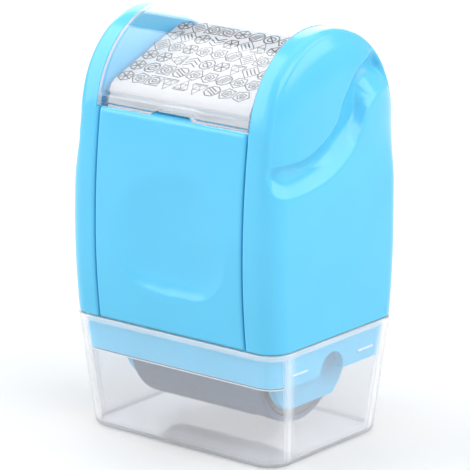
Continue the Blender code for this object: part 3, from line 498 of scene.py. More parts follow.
def grooveDepthOnce(points):
    # the groove is deepest where its wall is widest, and its floor climbs back out
    g = groove
    top, foot, low = smoothPath(grooveTop), smoothPath(grooveFoot), smoothPath(grooveLow)
    dTop, dFoot, dLow = (distanceTo(path, points) for path in (top, foot, low))
    wall = insideOf(np.vstack([top, foot[::-1]]), points)
    floor = insideOf(np.vstack([foot, low[::-1]]), points)
    width = np.where(wall, dTop + dFoot, np.clip(dTop - dFoot, *g["floorWidth"]))
    deepest = np.minimum(width * g["steepness"], g["depth"])
    share = np.zeros(len(points))
    fall = dTop / (dTop + dFoot + 1e-9)
    share[wall] = (1 - (1 - fall) ** g["wallPower"])[wall]
    share[floor] = (dLow / (dLow + dFoot + 1e-9))[floor]
    return deepest * share


def grooveDepthAt(points, inset):
    # a mean over a small spot rounds the groove's edges and its front end
    count, middle, around = groove["spots"]
    depth = middle * grooveDepthOnce(points)
    for turn in np.arange(count) * math.pi / 3:
        shift = groove["soft"] * np.array([math.cos(turn), math.sin(turn)])
        depth += around * grooveDepthOnce(points + shift)
    return depth * smoothStep(*groove["rimFade"], inset)


def grooveLimit(y, z):
    g = groove
    halfX, halfY = g["chassisHalf"]
    radius = g["chassisCorner"]
    past = np.maximum(np.abs(y) - halfY + radius, 0)
    limit = halfX - radius + np.sqrt(np.maximum(radius**2 - past**2, 0))
    top = g["chassisTop"] + g["frontTop"] * smoothStep(*g["frontFrom"], y)
    beyond = g["freeEnd"] * smoothStep(halfY - g["endEase"], halfY, np.abs(y))
    return limit - (beyond + g["freeTop"] * smoothStep(top, top + g["topEase"], z))


def cheekFace(y, z, inset):
    c = cheek
    corner = np.clip(inset / c["cornerRadius"], 0, 1)
    body = c["sideX"] + c["cornerRadius"] * np.sqrt(1 - (1 - corner) ** 2)
    middle = c["bulgeMiddle"]
    body += c["bulge"] * (1 - ((z - middle) / middle) ** 2) * smoothStep(0, c["bulgeReach"], inset)
    turned = np.clip(inset / c["rimRound"], 0, c["rimShare"])
    rim = c["rimX"] + c["rimRise"] * np.sqrt(1 - (1 - turned) ** 2)
    eased = 1 - np.exp(-(inset - c["rimWidth"]) / c["pillowEase"])
    pillow = c["rimX"] + c["pillowFoot"] + c["pillowRise"] * eased
    dome = np.where(inset < c["rimWidth"], rim, pillow)
    share = smoothStep(c["rimFrom"], c["rimTo"], z)
    x = body * (1 - share) + dome * share
    depth = grooveDepthAt(np.column_stack([y, z]), inset)
    room = np.maximum(x - grooveLimit(y, z), 0.01)
    return x - depth * room / (depth**6 + room**6) ** (1 / 6)  # a soft minimum of the two


def cheekMesh():
    c = cheek
    easing = np.linspace(0, 1, c["rings"])
    share = 1 - (0.35 * easing + 0.65 * easing**1.9)  # 1 at the rim, 0 in the middle, closer at the rim
    heights = np.concatenate([c["edgeRows"], np.linspace(c["firstRow"], shell["domeAxis"], c["rows"])])
    turns = np.linspace(0, math.pi, c["domeColumns"])[1:-1]
    columns = []  # front side going up, over the dome, rear side going down
    for height in heights:
        rim = float(halfDepth(height))
        columns.append((-rim * share, np.full_like(share, height), rim * (1 - share)))
    for turn in turns:
        radius, side = (shell["domeFront"], -1) if turn < math.pi / 2 else (shell["domeRear"], 1)
        wide = float(halfDepth(shell["domeAxis"], side)) / radius
        swell = 1 + (wide - 1) * (1 - float(smoothStep(0, 0.25, math.sin(turn))))
        y, z = -radius * swell * math.cos(turn), shell["domeTall"] * math.sin(turn)
        columns.append((y * share, shell["domeAxis"] + z * share, math.hypot(y, z) * (1 - share)))
    for height in heights[::-1]:
        rim = float(halfDepth(height, 1))
        columns.append((rim * share, np.full_like(share, height), rim * (1 - share)))
    y, z, inset = (np.array([column[i] for column in columns]) for i in range(3))
    x = cheekFace(y.ravel(), z.ravel(), inset.ravel()).reshape(y.shape)
    # front and rear halves run into one another, so that they weld along the middle
    meet = (x[:, -1] + x[::-1, -1]) / 2
    meet[len(heights) - 1 : len(heights) + len(turns) + 1] = meet[len(heights) - 1]
    x += (meet - x[:, -1])[:, None] * (1 - smoothStep(0, 0.4, share))
    # rounding along the bottom edge
    near = np.clip(1 - z / c["edgeRound"], 0, 1)
    pull = c["edgeRound"] * (1 - np.sqrt(1 - near**2))
    x -= pull
    y *= 1 - pull / shell["halfSeam"]
    # rings behind the crest: the slope down to the window, then the flat back
    high = np.clip(z[:, 0] - shell["domeAxis"], 0, None)
    reach = np.hypot(y[:, 0], high)
    flush = c["flushRadius"] + shell["crownRise"] * (high / reach) ** 4
    slope = np.clip(reach - flush, 0, None) * smoothStep(*c["slopeFade"], z[:, 0] - shell["shoulder"])
    share = smoothStep(*c["bayFade"], z[:, 0])
    low = c["bayX"] * share + c["lowBackX"] * (1 - share)
    back = []
    for part in (0.5, 1.0):
        back.append((x[:, 0] * (1 - part) + low * part, 1 - slope * part / reach))
    for step, turn in enumerate(np.linspace(0, math.pi / 2, 5)):
        ringX = np.minimum(low - 0.01 * (step + 1), c["backX"] + c["seamRound"] * (1 - math.sin(turn)))
        back.append((ringX, 1 - (slope + c["seamRound"] * (1 - math.cos(turn))) / reach))
    rimY, rimZ = y[:, 0].copy(), z[:, 0].copy()
    for ringX, keep in back:
        x = np.column_stack([ringX, x])
        y = np.column_stack([rimY * keep, y])
        z = np.column_stack([np.where(high > 0, shell["domeAxis"] + high * keep, rimZ), z])
    rows, count = x.shape
    points = np.column_stack([x.ravel(), y.ravel(), z.ravel() + shell["seamZ"]])
    faces = []
    for i in range(0, (rows - 1) * count, count):
        faces += [(a, a + 1, a + count + 1, a + count) for a in range(i, i + count - 1)]
    # bottom edge dropped to the back plane, then one flat face behind everything
    bottom = list(range(count)) + list(range((rows - 1) * count, rows * count))[::-1]
    start = len(points)
    extra = points[bottom].copy()
    extra[:, 0] = c["backX"]
    extra[:, 1] = np.clip(extra[:, 1], points[0, 1], points[(rows - 1) * count, 1])
    points = np.vstack([points, extra])
    for i in range(len(bottom) - 1):
        faces.append((bottom[i], bottom[i + 1], start + i + 1, start + i))
    backLoop = [i * count for i in range(rows)] + list(range(start + len(bottom) - 2, start, -1))
    faces.append(tuple(backLoop))
    return newMesh("right_cheek_shell", points, faces)


def makeCheeks():
    c = cheek
    mesh = cheekMesh()
    tidyMesh(mesh)
    right = newObject("right_cheek_shell", mesh, gloss)
    outline = roundedOutline(*c["pocketHalf"], c["pocketCorner"], 8)
    pocket = solidFrom("pocket", [
        np.column_stack([outline, np.full(len(outline), z)]) for z in c["pocketHeights"]
    ])
    bay = slab("bay", c["bayOutline"], c["cutFrom"], c["bayX"])
    hole = hingeRod("pinHole", hinge["boreRadius"], c["cutFrom"], c["pinHoleEnd"], 24)
    carve(right, pocket, bay, hole)
    tidyMesh(right.data, weld=0.00005)
    leftMesh = right.data.copy()
    leftMesh.name = "left_cheek_shell"
    leftMesh.transform(Matrix.Scale(-1, 4, (1, 0, 0)))
    tidyMesh(leftMesh, weld=0.00005)
    left = newObject("left_cheek_shell", leftMesh, gloss)
    dress(right.data, gloss)
    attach(right, "housing")
    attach(left, "housing")
    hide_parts("right_cheek")
    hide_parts("left_cheek")
    return right


rightCheek = makeCheeks()
print("cheeks shaped:", len(rightCheek.data.polygons), "faces each")

# front and rear panels with their thumb dimples
panel = {
    "halfWidth": 15.13,
    "height": 35.1,
    "backY": 15.1,
    "stepHeight": 30.1,
    "thickBackFront": 13.4,
    "thickBackRear": 14.5,
    "edgeRound": 0.5,
    "dimpleCentre": (0.2, 15.6),
    "dimpleDepth": 1.05,
    "dimpleSoft": (2, 1.5),  # powers of its fall high up
    "dimpleCrisp": (5, 1.15),  # and of the ledge low down
    "ledgeFrom": (0.2, -0.9),
    "turns": 721,
    "smoothing": 61,
    "columns": 130,
    "rows": 150,
    "stepGap": 0.01,
}
dimpleOutline = [
    (-1.3, 27.0), (5.9, 26.7), (9.7, 22.3), (11.4, 17.8), (12.2, 14.2), (10.9, 9.9), (8.1, 7.2), (2.5, 6.7),
    (-2.7, 6.7), (-8.0, 7.8), (-11.3, 11.7), (-12.0, 14.8), (-10.7, 19.8), (-7.8, 23.5),
]


def dimpleDepthAt(x, z):
    centre = np.array(panel["dimpleCentre"])
    outline = np.array(dimpleOutline) - centre
    turns = np.arctan2(outline[:, 1], outline[:, 0])
    order = np.argsort(turns)
    turns, reach = turns[order], np.hypot(*outline.T)[order]
    turns = np.concatenate([turns - 2 * math.pi, turns, turns + 2 * math.pi])
    reach = np.tile(reach, 3)
    at = np.linspace(-math.pi, math.pi, panel["turns"])
    smooth = np.interp(at, turns, reach)
    kernel = np.hanning(panel["smoothing"])
    kernel /= kernel.sum()
    wrap = 120
    smooth = np.concatenate([smooth[-wrap - 1 : -1], smooth, smooth[1 : wrap + 1]])
    smooth = np.convolve(smooth, kernel, "same")[wrap:-wrap]
    dx, dz = x - centre[0], z - centre[1]
    turn = np.arctan2(dz, dx)
    share = np.hypot(dx, dz) / np.interp(turn, at, smooth)
    low = smoothStep(*panel["ledgeFrom"], np.sin(turn))
    soft, crisp = (
        (1 - np.clip(share, 0, 1) ** power) ** outer for power, outer in (panel["dimpleSoft"], panel["dimpleCrisp"])
    )
    return panel["dimpleDepth"] * (soft * (1 - low) + crisp * low)


def makePanel(name, node, side):
    p = panel
    r = p["edgeRound"]
    wide, tall, step = p["halfWidth"], p["height"], p["stepHeight"]
    lip = r * (1 - np.cos(np.linspace(0, math.pi / 2, 5)))
    xs = np.concatenate([-wide + lip, np.linspace(-wide + 2 * r, wide - 2 * r, p["columns"]), wide - lip[::-1]])
    zs = np.concatenate([lip, np.linspace(2 * r, tall - 2 * r, p["rows"]), tall - lip[::-1]])
    zs = np.unique(np.round(np.concatenate([zs, [step - p["stepGap"], step + p["stepGap"]]]), 4))
    gridX, gridZ = np.meshgrid(xs, zs)

    def fall(gap):
        near = np.clip(1 - gap / r, 0, 1)
        return r * (1 - np.sqrt(1 - near**2))

    drop = np.minimum(fall(wide - np.abs(gridX)) + fall(gridZ) + fall(tall - gridZ), r)
    front = halfDepth(gridZ, side) - drop - dimpleDepthAt(gridX, gridZ)
    thick = p["thickBackFront"] if side < 0 else p["thickBackRear"]
    back = np.where(gridZ > step, thick, p["backY"])
    loops = []
    for row in range(len(zs)):
        z = zs[row] + shell["seamZ"]
        outer = np.column_stack([xs, side * front[row], np.full(len(xs), z)])
        rear = np.column_stack([xs[::-1], side * back[row][::-1], np.full(len(xs), z)])
        loops.append(np.vstack([outer, rear]))
    points, faces = closedLoops(loops, fillEnds=False)
    count = 2 * len(xs)
    for base in (0, len(points) - count):
        for i in range(len(xs) - 1):
            faces.append((base + i, base + i + 1, base + count - 2 - i, base + count - 1 - i))
    mesh = newMesh(name, points, faces)
    tidyMesh(mesh)
    piece = newObject(name, mesh, gloss)
    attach(piece, "housing")
    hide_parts(node)
    return piece


frontPanel = makePanel("front_panel_shell", "front_panel", -1)
makePanel("rear_panel_shell", "rear_panel", 1)
print("panels shaped:", len(frontPanel.data.polygons), "faces each")

# clear window cover
window = {
    "axisZ": 53.4,
    "radius": 15.8,
    "wall": 1.0,
    "halfWidth": 15.6,
    "lowZ": 55.2,
    "rearZ": 55.7,
    "railDepth": (13.95, 15.19),
    "railTop": 56.5,
    "railLift": 0.6,
    "notchLow": 4.4,  # half width of the thumb notch at its foot and at its head
    "notchHigh": 3.4,
    "notchHeight": 0.75,
    "notchDepths": (-17.0, -13.0),
    "barrelRadius": 1.1,
    "boreHalf": 17,
    "cutOver": 0.3,
    "edgeRound": 0.18,
}


def makeWindow():
    w = window
    outerLow = math.pi - math.asin((w["lowZ"] - w["axisZ"]) / w["radius"])
    outerEnd = math.asin((w["rearZ"] - w["axisZ"]) / w["radius"])
    inside = w["radius"] - w["wall"]
    railJoin = math.pi - math.asin((w["railTop"] + w["railLift"] - w["axisZ"]) / inside)
    innerEnd = math.asin((w["rearZ"] - w["axisZ"]) / inside)

    def arch(radius, start, end, steps):
        turns = np.linspace(start, end, steps)
        rise = radius * np.sin(turns) + shell["crownRise"] * np.clip(np.sin(turns), 0, 1) ** 3
        return list(zip(radius * np.cos(turns), w["axisZ"] + rise))

    outer = arch(w["radius"], outerLow, outerEnd, 110)
    inner = arch(inside, innerEnd, railJoin, 100)
    foot = [(-w["railDepth"][0], w["railTop"]), (-w["railDepth"][0], w["lowZ"])]
    wide = w["halfWidth"]
    cover = slab("window_cover_clear", outer + inner + foot, -wide, wide)
    carve(cover, hingeRod("barrel", w["barrelRadius"], -wide, wide, 48), operation="UNION")
    bore = hingeRod("bore", hinge["boreRadius"], -w["boreHalf"], w["boreHalf"], 32)
    low, head = w["lowZ"], w["lowZ"] + w["notchHeight"]
    out, narrow = w["notchLow"], w["notchHigh"]
    outline = [(-out, low - w["cutOver"]), (out, low - w["cutOver"]), (out, low), (narrow, head), (-narrow, head),
               (-out, low)]
    notch = solidFrom("notch", [np.array([(x, y, z) for x, z in outline]) for y in w["notchDepths"]])
    carve(cover, bore, notch)
    tidyMesh(cover.data, weld=0.002)
    setAll(cover.modifiers.new("round edges", "BEVEL"), width=w["edgeRound"] * mm, segments=2,
           limit_method="ANGLE", angle_limit=math.radians(50))
    setAll(cover.modifiers.new("flat faces stay flat", "WEIGHTED_NORMAL"), weight=100, keep_sharp=False)
    cover.data.shade_smooth()
    mesh = bakeModifiers(cover)
    dress(mesh, clear, clearEdge)
    for face in mesh.polygons:
        side = abs(face.normal.x) > 0.6 and face.center.z > w["lowZ"] * mm + mm
        face.material_index = 1 if side else 0
    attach(cover, "window")
    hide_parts("window_cover")
    return cover


cover = makeWindow()
print("window cover shaped:", len(cover.data.polygons), "faces")

# label card and its rows of generic marks
card = {
    "halfWidth": 14.4,
    "bedFront": 13.1,
    "kneeZ": 58.1,
    "crestY": 4.6,
    "slope": 21.2,  # degrees
    "bend": 1.8,
    "lift": 0.3,
    "thickness": 0.25,
    "lowZ": 55.3,
}


def cardKnee(lift):
    slope = math.radians(card["slope"])
    return slope, -card["bedFront"] - lift, card["kneeZ"] + lift * (1 - math.sin(slope))


def cardPath(lift):
    c = card
    slope, kneeY, kneeZ = cardKnee(lift)
    radius = c["bend"] + lift
    turn = math.pi / 2 - slope
    centre = (kneeY + radius, kneeZ - radius * math.tan(turn / 2))
    path = [(kneeY, c["lowZ"])]
    for t in np.linspace(math.pi, math.pi - turn, 14):
        path.append((centre[0] + radius * math.cos(t), centre[1] + radius * math.sin(t)))
    path.append((c["crestY"], kneeZ + (c["crestY"] - kneeY) * math.tan(slope)))
    return path


def makeCard():
    c = card
    outline = cardPath(c["lift"] + c["thickness"]) + cardPath(c["lift"])[::-1]
    piece = slab("label_card_white", outline, -c["halfWidth"], c["halfWidth"])
    dress(piece.data, cardStock)
    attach(piece, "housing")
    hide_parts("label_card")


makeCard()


sharedInputs = {
    "Columns": "Int", "Rows": "Int", "Mark size": "Float", "Line width": "Float", "Line height": "Float",
    "Seed": "Int", "Coat": "Material",
}


def treeWith(name, inputs):
    tree = bpy.data.node_groups.new(name, "GeometryNodeTree")
    tree.interface.new_socket("Geometry", in_out="INPUT", socket_type="NodeSocketGeometry")
    for label, kind in {**sharedInputs, **inputs}.items():
        tree.interface.new_socket(label, in_out="INPUT", socket_type="NodeSocket" + kind)
    tree.interface.new_socket("Geometry", in_out="OUTPUT", socket_type="NodeSocketGeometry")
    return tree, tree.nodes.new("NodeGroupInput").outputs, tree.nodes.new("NodeGroupOutput")


def endTree(tree, target, geometry, material):
    real = addNode(tree, "GeometryNodeRealizeInstances", {"Geometry": geometry})
    coat = addNode(tree, "GeometryNodeSetMaterial", {"Geometry": real.outputs["Geometry"], "Material": material})
    tree.links.new(coat.outputs["Geometry"], target.inputs["Geometry"])
    return tree


def applyTree(piece, tree, values):
    step = piece.modifiers.new(tree.name, "NODES")
    step.node_group = tree
    for item in tree.interface.items_tree:
        if item.in_out == "INPUT" and item.name in values:
            step[item.identifier] = values[item.name]
    return bakeModifiers(piece)


def gridOf(tree, value, sizeX, sizeY):
    counts = {"Vertices X": value["Columns"], "Vertices Y": value["Rows"]}
    return addNode(tree, "GeometryNodeMeshGrid", {**counts, "Size X": sizeX, "Size Y": sizeY}).outputs["Mesh"]


def randomInt(tree, seed, highest):
    node = addNode(tree, "FunctionNodeRandomValue", {"Seed": seed}, data_type="INT")
    lowest, most = [socket for socket in node.inputs if socket.type == "INT"][:2]
    lowest.default_value, most.default_value = 0, highest
    return [socket for socket in node.outputs if socket.type == "INT"][0]


def scatter(tree, value, points, glyphs, last, **lean):
    # one glyph on each point, leaning by an angle about X, Y or Z
    turn = addNode(tree, "FunctionNodeEulerToRotation", {
        0: addNode(tree, "ShaderNodeCombineXYZ", lean).outputs["Vector"],
    })
    return addNode(tree, "GeometryNodeInstanceOnPoints", {
        "Points": points, "Instance": glyphs, "Pick Instance": True,
        "Instance Index": randomInt(tree, value["Seed"], last), "Rotation": turn.outputs[0],
    }).outputs["Instances"]


def glyphSet(tree, value, plain=False):
    section = {"Width": value["Line width"], "Height": value["Line height"]}
    profile = addNode(tree, "GeometryNodeCurvePrimitiveQuadrilateral", section, mode="RECTANGLE").outputs["Curve"]
    glyphs = addNode(tree, "GeometryNodeJoinGeometry")

    def scaled(share):
        return times(tree, value["Mark size"], share)

    def moved(curve, turn, place=(0, 0, 0)):
        return addNode(tree, "GeometryNodeTransform", {
            "Geometry": curve.outputs["Curve"], "Rotation": (0, 0, math.radians(turn)), "Translation": place,
        }).outputs["Geometry"]

    def ring(sides, share, turn=0.0):
        circle = {"Resolution": sides, "Radius": scaled(share)}
        return moved(addNode(tree, "GeometryNodeCurvePrimitiveCircle", circle, mode="RADIUS"), turn)

    def bar(length, turn=0.0, shiftX=0.0, shiftY=0.0):
        stroke = {"Direction": (1, 0, 0), "Length": scaled(length)}
        lean = math.radians(turn)
        place = addNode(tree, "ShaderNodeCombineXYZ", {
            "X": scaled(shiftX - length / 2 * math.cos(lean)), "Y": scaled(shiftY - length / 2 * math.sin(lean)),
        })
        line = addNode(tree, "GeometryNodeCurvePrimitiveLine", stroke, mode="DIRECTION")
        return moved(line, turn, place.outputs["Vector"])

    def sweep(*curves):
        joined = addNode(tree, "GeometryNodeJoinGeometry")
        for curve in curves:
            tree.links.new(curve, joined.inputs["Geometry"])
        tube = addNode(tree, "GeometryNodeCurveToMesh", {
            "Curve": joined.outputs["Geometry"], "Profile Curve": profile, "Fill Caps": True,
        })
        wrap = addNode(tree, "GeometryNodeGeometryToInstance", {"Geometry": tube.outputs["Mesh"]})
        tree.links.new(wrap.outputs["Instances"], glyphs.inputs["Geometry"])

    if plain:  # few faces each, for the drum
        sweep(ring(4, 0.6, 45))
        sweep(ring(4, 0.6, 0))
        sweep(ring(3, 0.55, 90))
        sweep(*(bar(0.9, 60, shift) for shift in (-0.28, 0, 0.28)))
        sweep(ring(6, 0.5, 0))
        sweep(bar(1.0, 45), bar(1.0, -45), bar(0.9, 90))
    else:
        sweep(ring(14, 0.48), ring(10, 0.26), bar(0.9, 45))
        sweep(ring(4, 0.62, 0), *(bar(0.62, 45, -shift, shift) for shift in (0.15, 0, -0.15)))
        sweep(ring(3, 0.6, 90), ring(3, 0.28, -90), bar(0.95, 0, 0, -0.42))
        sweep(ring(6, 0.5, 30), *(bar(0.85, turn) for turn in (90, 30, -30)))
        sweep(*(bar(0.56, turn, side, lift) for lift in (-0.3, 0, 0.3) for turn, side in ((35, -0.23), (-35, 0.23))))
        sweep(ring(8, 0.5, 22.5), bar(0.75, 60, -0.2), bar(0.85, 60, 0), bar(0.75, 60, 0.2))
        sweep(ring(4, 0.64, 45), ring(12, 0.34), ring(8, 0.14))
        sweep(ring(5, 0.54, 90), ring(5, 0.3, -90), ring(8, 0.1))
    return glyphs.outputs["Geometry"]


def markTree():
    tree, value, target = treeWith("rows of marks", {
        "Column pitch": "Float", "Row pitch": "Float", "Turn": "Vector", "Start": "Vector",
    })

    def extent(count, pitch):
        return times(tree, value[pitch], mathNode(tree, "SUBTRACT", value[count], 1))

    grid = gridOf(tree, value, extent("Columns", "Column pitch"), extent("Rows", "Row pitch"))
    quarters = randomInt(tree, mathNode(tree, "ADD", value["Seed"], 7), 3)
    placed = scatter(tree, value, grid, glyphSet(tree, value), 7, Z=times(tree, quarters, math.pi / 2))
    move = addNode(tree, "GeometryNodeTransform", {
        "Geometry": placed, "Rotation": value["Turn"], "Translation": value["Start"],
    })
    return endTree(tree, target, move.outputs["Geometry"], value["Coat"])


marks = {
    "columns": 9,
    "rows": 6,
    "columnPitch": 2.98,
    "rowPitch": 3.25,
    "shiftX": -1.1,
    "firstRow": 2.7,  # along the slope from the knee to the middle of the first row
    "size": 2.8,
    "line": 0.23,
    "height": 0.02,
    "sink": 0.004,
    "seed": 4,
}


def makeMarks():
    m = marks
    slope, kneeY, kneeZ = cardKnee(card["lift"] + card["thickness"])
    middle = m["firstRow"] + (m["rows"] - 1) * m["rowPitch"] / 2
    rise = m["height"] / 2 - m["sink"]
    start = (
        m["shiftX"] * mm,
        (kneeY + middle * math.cos(slope) - rise * math.sin(slope)) * mm,
        (kneeZ + middle * math.sin(slope) + rise * math.cos(slope)) * mm,
    )
    piece = newObject("label_marks", bpy.data.meshes.new("label_marks"))
    applyTree(piece, markTree(), {
        "Columns": m["columns"], "Rows": m["rows"], "Column pitch": m["columnPitch"] * mm,
        "Row pitch": m["rowPitch"] * mm, "Mark size": m["size"] * mm, "Line width": m["line"] * mm,
        "Line height": m["height"] * mm, "Turn": (slope, 0, 0), "Start": start, "Seed": m["seed"],
        "Coat": blackPrint,
    })
    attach(piece, "housing")
    return piece


labelMarks = makeMarks()
print("label card made with", len(labelMarks.data.polygons), "faces of marks")

# frosted cap
cap = {
    "height": 19.62,
    "lowHalf": (19.9, 14.4),
    "seamHalf": (21.62, 16.42),
    "wall": 0.9,
    "cornerRadius": 3.9,
    "cornerSteps": 12,
    "sidePoints": 14,
    "floor": 0.55,
    "bottomFillet": 0.9,
    "filletShrink": 0.35,  # how much the corner tightens along the fillet
    "smallestCorner": 0.8,
    "feet": (0.1, 0.04),  # the middle of the front and side bottom edges stands this much off the table
    "feetReach": (17, 11.5),
    "feetHeight": 3.0,
    "feetFrom": (0.7, 0.95),  # shares of the way out to the edge
    "floorRings": (0.25, 0.6, 0.9),
    "rimBand": 0.75,  # height of the whiter band along the rim
    "rimFade": 0.25,
    "rimFrost": 0.27,
    "floorFrost": 0.5,
    "floorFade": 0.6,
    "wallFrost": 0.1,  # at the foot of the walls, less higher up
    "wallFade": 0.8,
    "cornerHighlightFrost": 0.34,  # of the painted highlight streak where each side face meets its rounded corners
    "streakWidth": 0.6,
    "streakPlace": 0.95,  # of the corner's radius, in from the end of the side
    "streakReach": 1.2,
}


def capHalf(z, inset):
    share = z / shell["seamZ"]
    return [low + (high - low) * share - inset for low, high in zip(cap["lowHalf"], cap["seamHalf"])]


def capLoop(z, inset, fillet=0.01, floor=-1.0):
    # without a fillet of its own a loop keeps its full size at every height
    c = cap
    drop = 0
    if z - floor < fillet:
        rise = (fillet - (z - floor)) / fillet
        drop = fillet * (1 - math.sqrt(max(0, 1 - rise**2)))
    halfX, halfY = capHalf(z, inset)
    radius = max(c["cornerRadius"] - inset - drop * c["filletShrink"], c["smallestCorner"])
    outline = roundedOutline(halfX - drop, halfY - drop, radius, c["cornerSteps"], c["sidePoints"])
    return np.column_stack([outline, np.full(len(outline), z)])


def capLoops():
    c = cap
    fillet, floor, wall, height = c["bottomFillet"], c["floor"], c["wall"], c["height"]
    outside = [fillet * (1 - math.cos(turn)) for turn in np.linspace(0, math.pi / 2, 12)]
    outside += list(np.linspace(fillet + 1.0, height - 0.15, 60))
    loops = [capLoop(max(z, 0), 0, fillet, 0) for z in outside]
    # over the rim, which is rounded a little, and down the inside
    for down, inset in ((0.05, 0.05), (0, 0.15), (0, wall - 0.12), (0.1, wall)):
        loops.append(capLoop(height - down, inset))
    inFillet = fillet - floor
    loops += [capLoop(z, wall) for z in np.linspace(height - 0.4, floor + inFillet + 1.0, 58)]
    for turn in np.linspace(math.pi / 2, 0, 10):
        loops.append(capLoop(floor + inFillet * (1 - math.cos(turn)), wall, inFillet, floor))
    # floors as shrinking loops, so that the shallow arch under the edges has vertices
    below = [loops[0] * (share, share, 1) for share in c["floorRings"]]
    above = [loops[-1] * (share, share, 1) for share in c["floorRings"][::-1]]
    return below + loops + above


def capFrost(points):
    c = cap
    x, y, z = points.T
    halfX, halfY = capHalf(z, 0)
    floor = 1 - smoothStep(c["floor"], c["floor"] + c["floorFade"], z)
    low = c["wallFrost"] * (1 - c["wallFade"] * z / c["height"])
    band = c["height"] - c["rimBand"]
    rim = smoothStep(band - c["rimFade"], band, z)
    # a whiter, frostier streak near each corner: a painted highlight
    far = (np.abs(y) - halfY + c["streakPlace"] * c["cornerRadius"]) / c["streakWidth"]
    highlightStreak = np.exp(-(far**2)) * (np.abs(x) > halfX - c["streakReach"])
    frost = np.maximum(np.maximum(c["cornerHighlightFrost"] * highlightStreak, c["floorFrost"] * floor), c["rimFrost"] * rim)
    # the floor share also darkens the floor's colour through the shade attribute: partly absorption, partly painted
    # shade
    return np.maximum(frost, low), floor


def makeCap():
    c = cap
    points, faces = closedLoops(capLoops())
    x, y, z = points.T
    near = np.clip(1 - z / c["feetHeight"], 0, 1) ** 1.5
    bow = 0
    for foot, across, along in ((0, y, x), (1, x, y)):
        out = smoothStep(*c["feetFrom"], np.abs(across) / c["lowHalf"][1 - foot])
        bow = bow + c["feet"][foot] * out * np.maximum(1 - (along / c["feetReach"][foot]) ** 2, 0)
    points[:, 2] += near * bow
    mesh = newMesh("cap_frosted", points, faces)
    tidyMesh(mesh, weld=0.001, sharpAngle=50)
    points = np.empty(len(mesh.vertices) * 3)
    mesh.vertices.foreach_get("co", points)
    for label, values in zip(("frost", "shade"), capFrost(points.reshape(-1, 3) / mm)):
        mesh.attributes.new(label, "FLOAT", "POINT").data.foreach_set("value", values.astype(np.float32))
    piece = newObject("cap_frosted", mesh, frosted)
    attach(piece, "cap")
    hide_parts("cap")
    return piece


capPiece = makeCap()
print("cap shaped:", len(capPiece.data.polygons), "faces")

# printing sleeve with its raised marks
sleeve = {
    "axisZ": 14.4,
    "innerRadius": 9.6,
    "baseRadius": 10.54,
    "faceRadius": 10.6,
    "halfLength": 13.2,
    "edge": 0.12,
    "turns": 96,
    "columns": 16,
    "rows": 34,
    "margin": 2.6,  # both ends together
    "markSize": 1.2,
    "line": 0.22,
    "sink": 0.04,
    "over": 0.02,
    "seed": 3,
}


def sleeveTree():
    tree, value, target = treeWith("raised marks on a drum", {
        "Length": "Float", "Radius": "Float", "Axis height": "Float",
    })
    radius = value["Radius"]
    share = mathNode(tree, "DIVIDE", mathNode(tree, "SUBTRACT", value["Rows"], 1), value["Rows"])
    grid = gridOf(tree, value, value["Length"], times(tree, times(tree, radius, 2 * math.pi), share))
    position = addNode(tree, "GeometryNodeInputPosition").outputs["Position"]
    flat = addNode(tree, "ShaderNodeSeparateXYZ", {"Vector": position}).outputs
    turn = mathNode(tree, "DIVIDE", flat["Y"], radius)
    high = times(tree, mathNode(tree, "SINE", turn), radius)
    rolled = addNode(tree, "ShaderNodeCombineXYZ", {
        "X": flat["X"], "Y": times(tree, mathNode(tree, "COSINE", turn), radius),
        "Z": mathNode(tree, "ADD", high, value["Axis height"]),
    })
    keep = addNode(tree, "GeometryNodeCaptureAttribute", {"Geometry": grid})
    keep.capture_items.new("FLOAT", "turn")
    tree.links.new(turn, keep.inputs["turn"])
    bend = addNode(tree, "GeometryNodeSetPosition", {
        "Geometry": keep.outputs["Geometry"], "Position": rolled.outputs["Vector"],
    })
    lean = mathNode(tree, "SUBTRACT", keep.outputs["turn"], math.pi / 2)
    placed = scatter(tree, value, bend.outputs["Geometry"], glyphSet(tree, value, plain=True), 5, X=lean)
    both = addNode(tree, "GeometryNodeJoinGeometry", {"Geometry": value["Geometry"]})
    tree.links.new(placed, both.inputs["Geometry"])
    return endTree(tree, target, both.outputs["Geometry"], value["Coat"])


def makeSleeve():
    s = sleeve
    end, edge, base = s["halfLength"], s["edge"], s["baseRadius"]
    profile = [(-end, s["innerRadius"]), (-end, base - edge), (-end + edge, base), (end - edge, base),
               (end, base - edge), (end, s["innerRadius"])]
    loops = []
    for t in np.linspace(0, 2 * math.pi, s["turns"] + 1)[:-1]:
        loops.append(np.array([(x, r * math.cos(t), s["axisZ"] + r * math.sin(t)) for x, r in profile]))
    mesh = newMesh("stamp_sleeve_relief", *closedLoops(loops + [loops[0]], fillEnds=False))
    tidyMesh(mesh, weld=0.001)
    piece = newObject("stamp_sleeve_relief", mesh, rubber)
    relief = s["faceRadius"] - base
    applyTree(piece, sleeveTree(), {
        "Columns": s["columns"], "Rows": s["rows"], "Length": (2 * end - s["margin"]) * mm,
        "Radius": (base + relief / 2 - s["sink"]) * mm, "Axis height": s["axisZ"] * mm,
        "Mark size": s["markSize"] * mm, "Line width": s["line"] * mm, "Line height": (relief + s["over"]) * mm,
        "Seed": s["seed"], "Coat": rubber,
    })
    piece.data.set_sharp_from_angle(angle=math.radians(32))
    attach(piece, "drum")
    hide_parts("stamp_sleeve")
    return piece


sleevePiece = makeSleeve()
print("printing sleeve made:", len(sleevePiece.data.polygons), "faces")

# camera, floor and light
view = {
    "azimuth": 38.91,
    "elevation": 15.50,
    "distance": 539.4,
    "focalPixels": 3281,
    "pixels": 470,
    "sensor": 36,
    "centreX": -1.0,
    "centreY": 75.86,
}


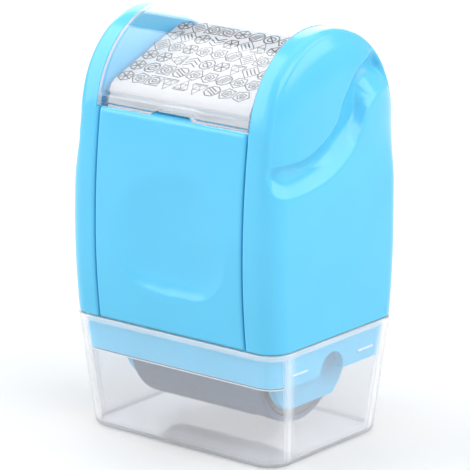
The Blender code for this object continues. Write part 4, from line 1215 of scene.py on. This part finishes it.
def makeCamera():
    v = view
    a, e = math.radians(v["azimuth"]), math.radians(v["elevation"])
    back = Vector((math.sin(a) * math.cos(e), -math.cos(a) * math.cos(e), math.sin(e)))
    right = Vector((math.cos(a), math.sin(a), 0))
    up = back.cross(right)
    perPixel = v["distance"] / v["focalPixels"]
    place = Vector((0, 0, shell["seamZ"])) + back * v["distance"]
    place += right * (-v["centreX"] * perPixel) + up * (v["centreY"] * perPixel)
    lens = v["focalPixels"] / v["pixels"] * v["sensor"]
    data = setAll(bpy.data.cameras.new("photo view"), sensor_width=v["sensor"], lens=lens, clip_start=0.01, clip_end=20)
    camera = newObject("photo view", data)
    turn = Matrix((right, up, back)).transposed()
    camera.matrix_world = Matrix.Translation(place * mm) @ turn.to_4x4()
    bpy.context.scene.camera = camera


makeCamera()

# in metres; glow is a light's brightness, where 1 would look as bright as white paper
studio = {
    "floorSize": 8.0,
    "floorGrey": 0.65,
    "world": 0.6,
    "aim": (0, 0, 0.045),
}
# the two long ones on the left are what the window mirrors, with a darker gap between them overhead
lamps = [
    ("front left softbox", (-0.726, -0.43, 0.60), (0, 0.79, 0.61), (0.7, 1.29), 2.6),
    ("back left softbox", (-0.726, 0.77, 0.42), (0, 0.5, -0.866), (0.7, 0.88), 2.6),
    ("right softbox", (0.85, -0.25, 0.80), (0, 1, 0), (0.7, 0.7), 2.6),
    ("back right softbox", (0.916, 0.467, 0.66), (-0.55, -0.28, 0.85), (1.1, 0.55), 2.6),
    ("front fill", (-0.2, -1.3, 0.5), (0, 0, 1), (1.0, 0.6), 0.8),
    ("overhead panel", (0.3, 0.1, 1.6), (0, 1, 0), (2.4, 2.4), 0.9),
]


def makeFloor():
    half = studio["floorSize"] / 2
    corners = [(-half, -half, 0), (half, -half, 0), (half, half, 0), (-half, half, 0)]
    material, tree, shader = startMaterial("pale floor")
    feed(tree, shader, {"Base Color": (studio["floorGrey"],) * 3 + (1,), "Roughness": 0.9})
    floor = newObject("floor", newMesh("floor", corners, [(0, 1, 2, 3)], 1.0), material)


def areaLight(name, place, along, size, glow):
    data = setAll(bpy.data.lights.new(name, "AREA"), shape="RECTANGLE", size=size[0], size_y=size[1],
                  energy=glow * math.pi * size[0] * size[1])
    light = newObject(name, data)
    out = (Vector(place) - Vector(studio["aim"])).normalized()
    across = Vector(along).cross(out).normalized()
    turn = Matrix((across, out.cross(across), out)).transposed()
    light.matrix_world = Matrix.Translation(place) @ turn.to_4x4()


makeFloor()
for lamp in lamps:
    areaLight(*lamp)
world = bpy.data.worlds.new("studio")
bpy.context.scene.world = world
world.use_nodes = True
sky = {"Color": (1, 1, 1, 1), "Strength": studio["world"]}
feed(world.node_tree, world.node_tree.nodes["Background"], sky)
bpy.context.scene.view_settings.view_transform = "Standard"
print("camera, floor and lights placed")
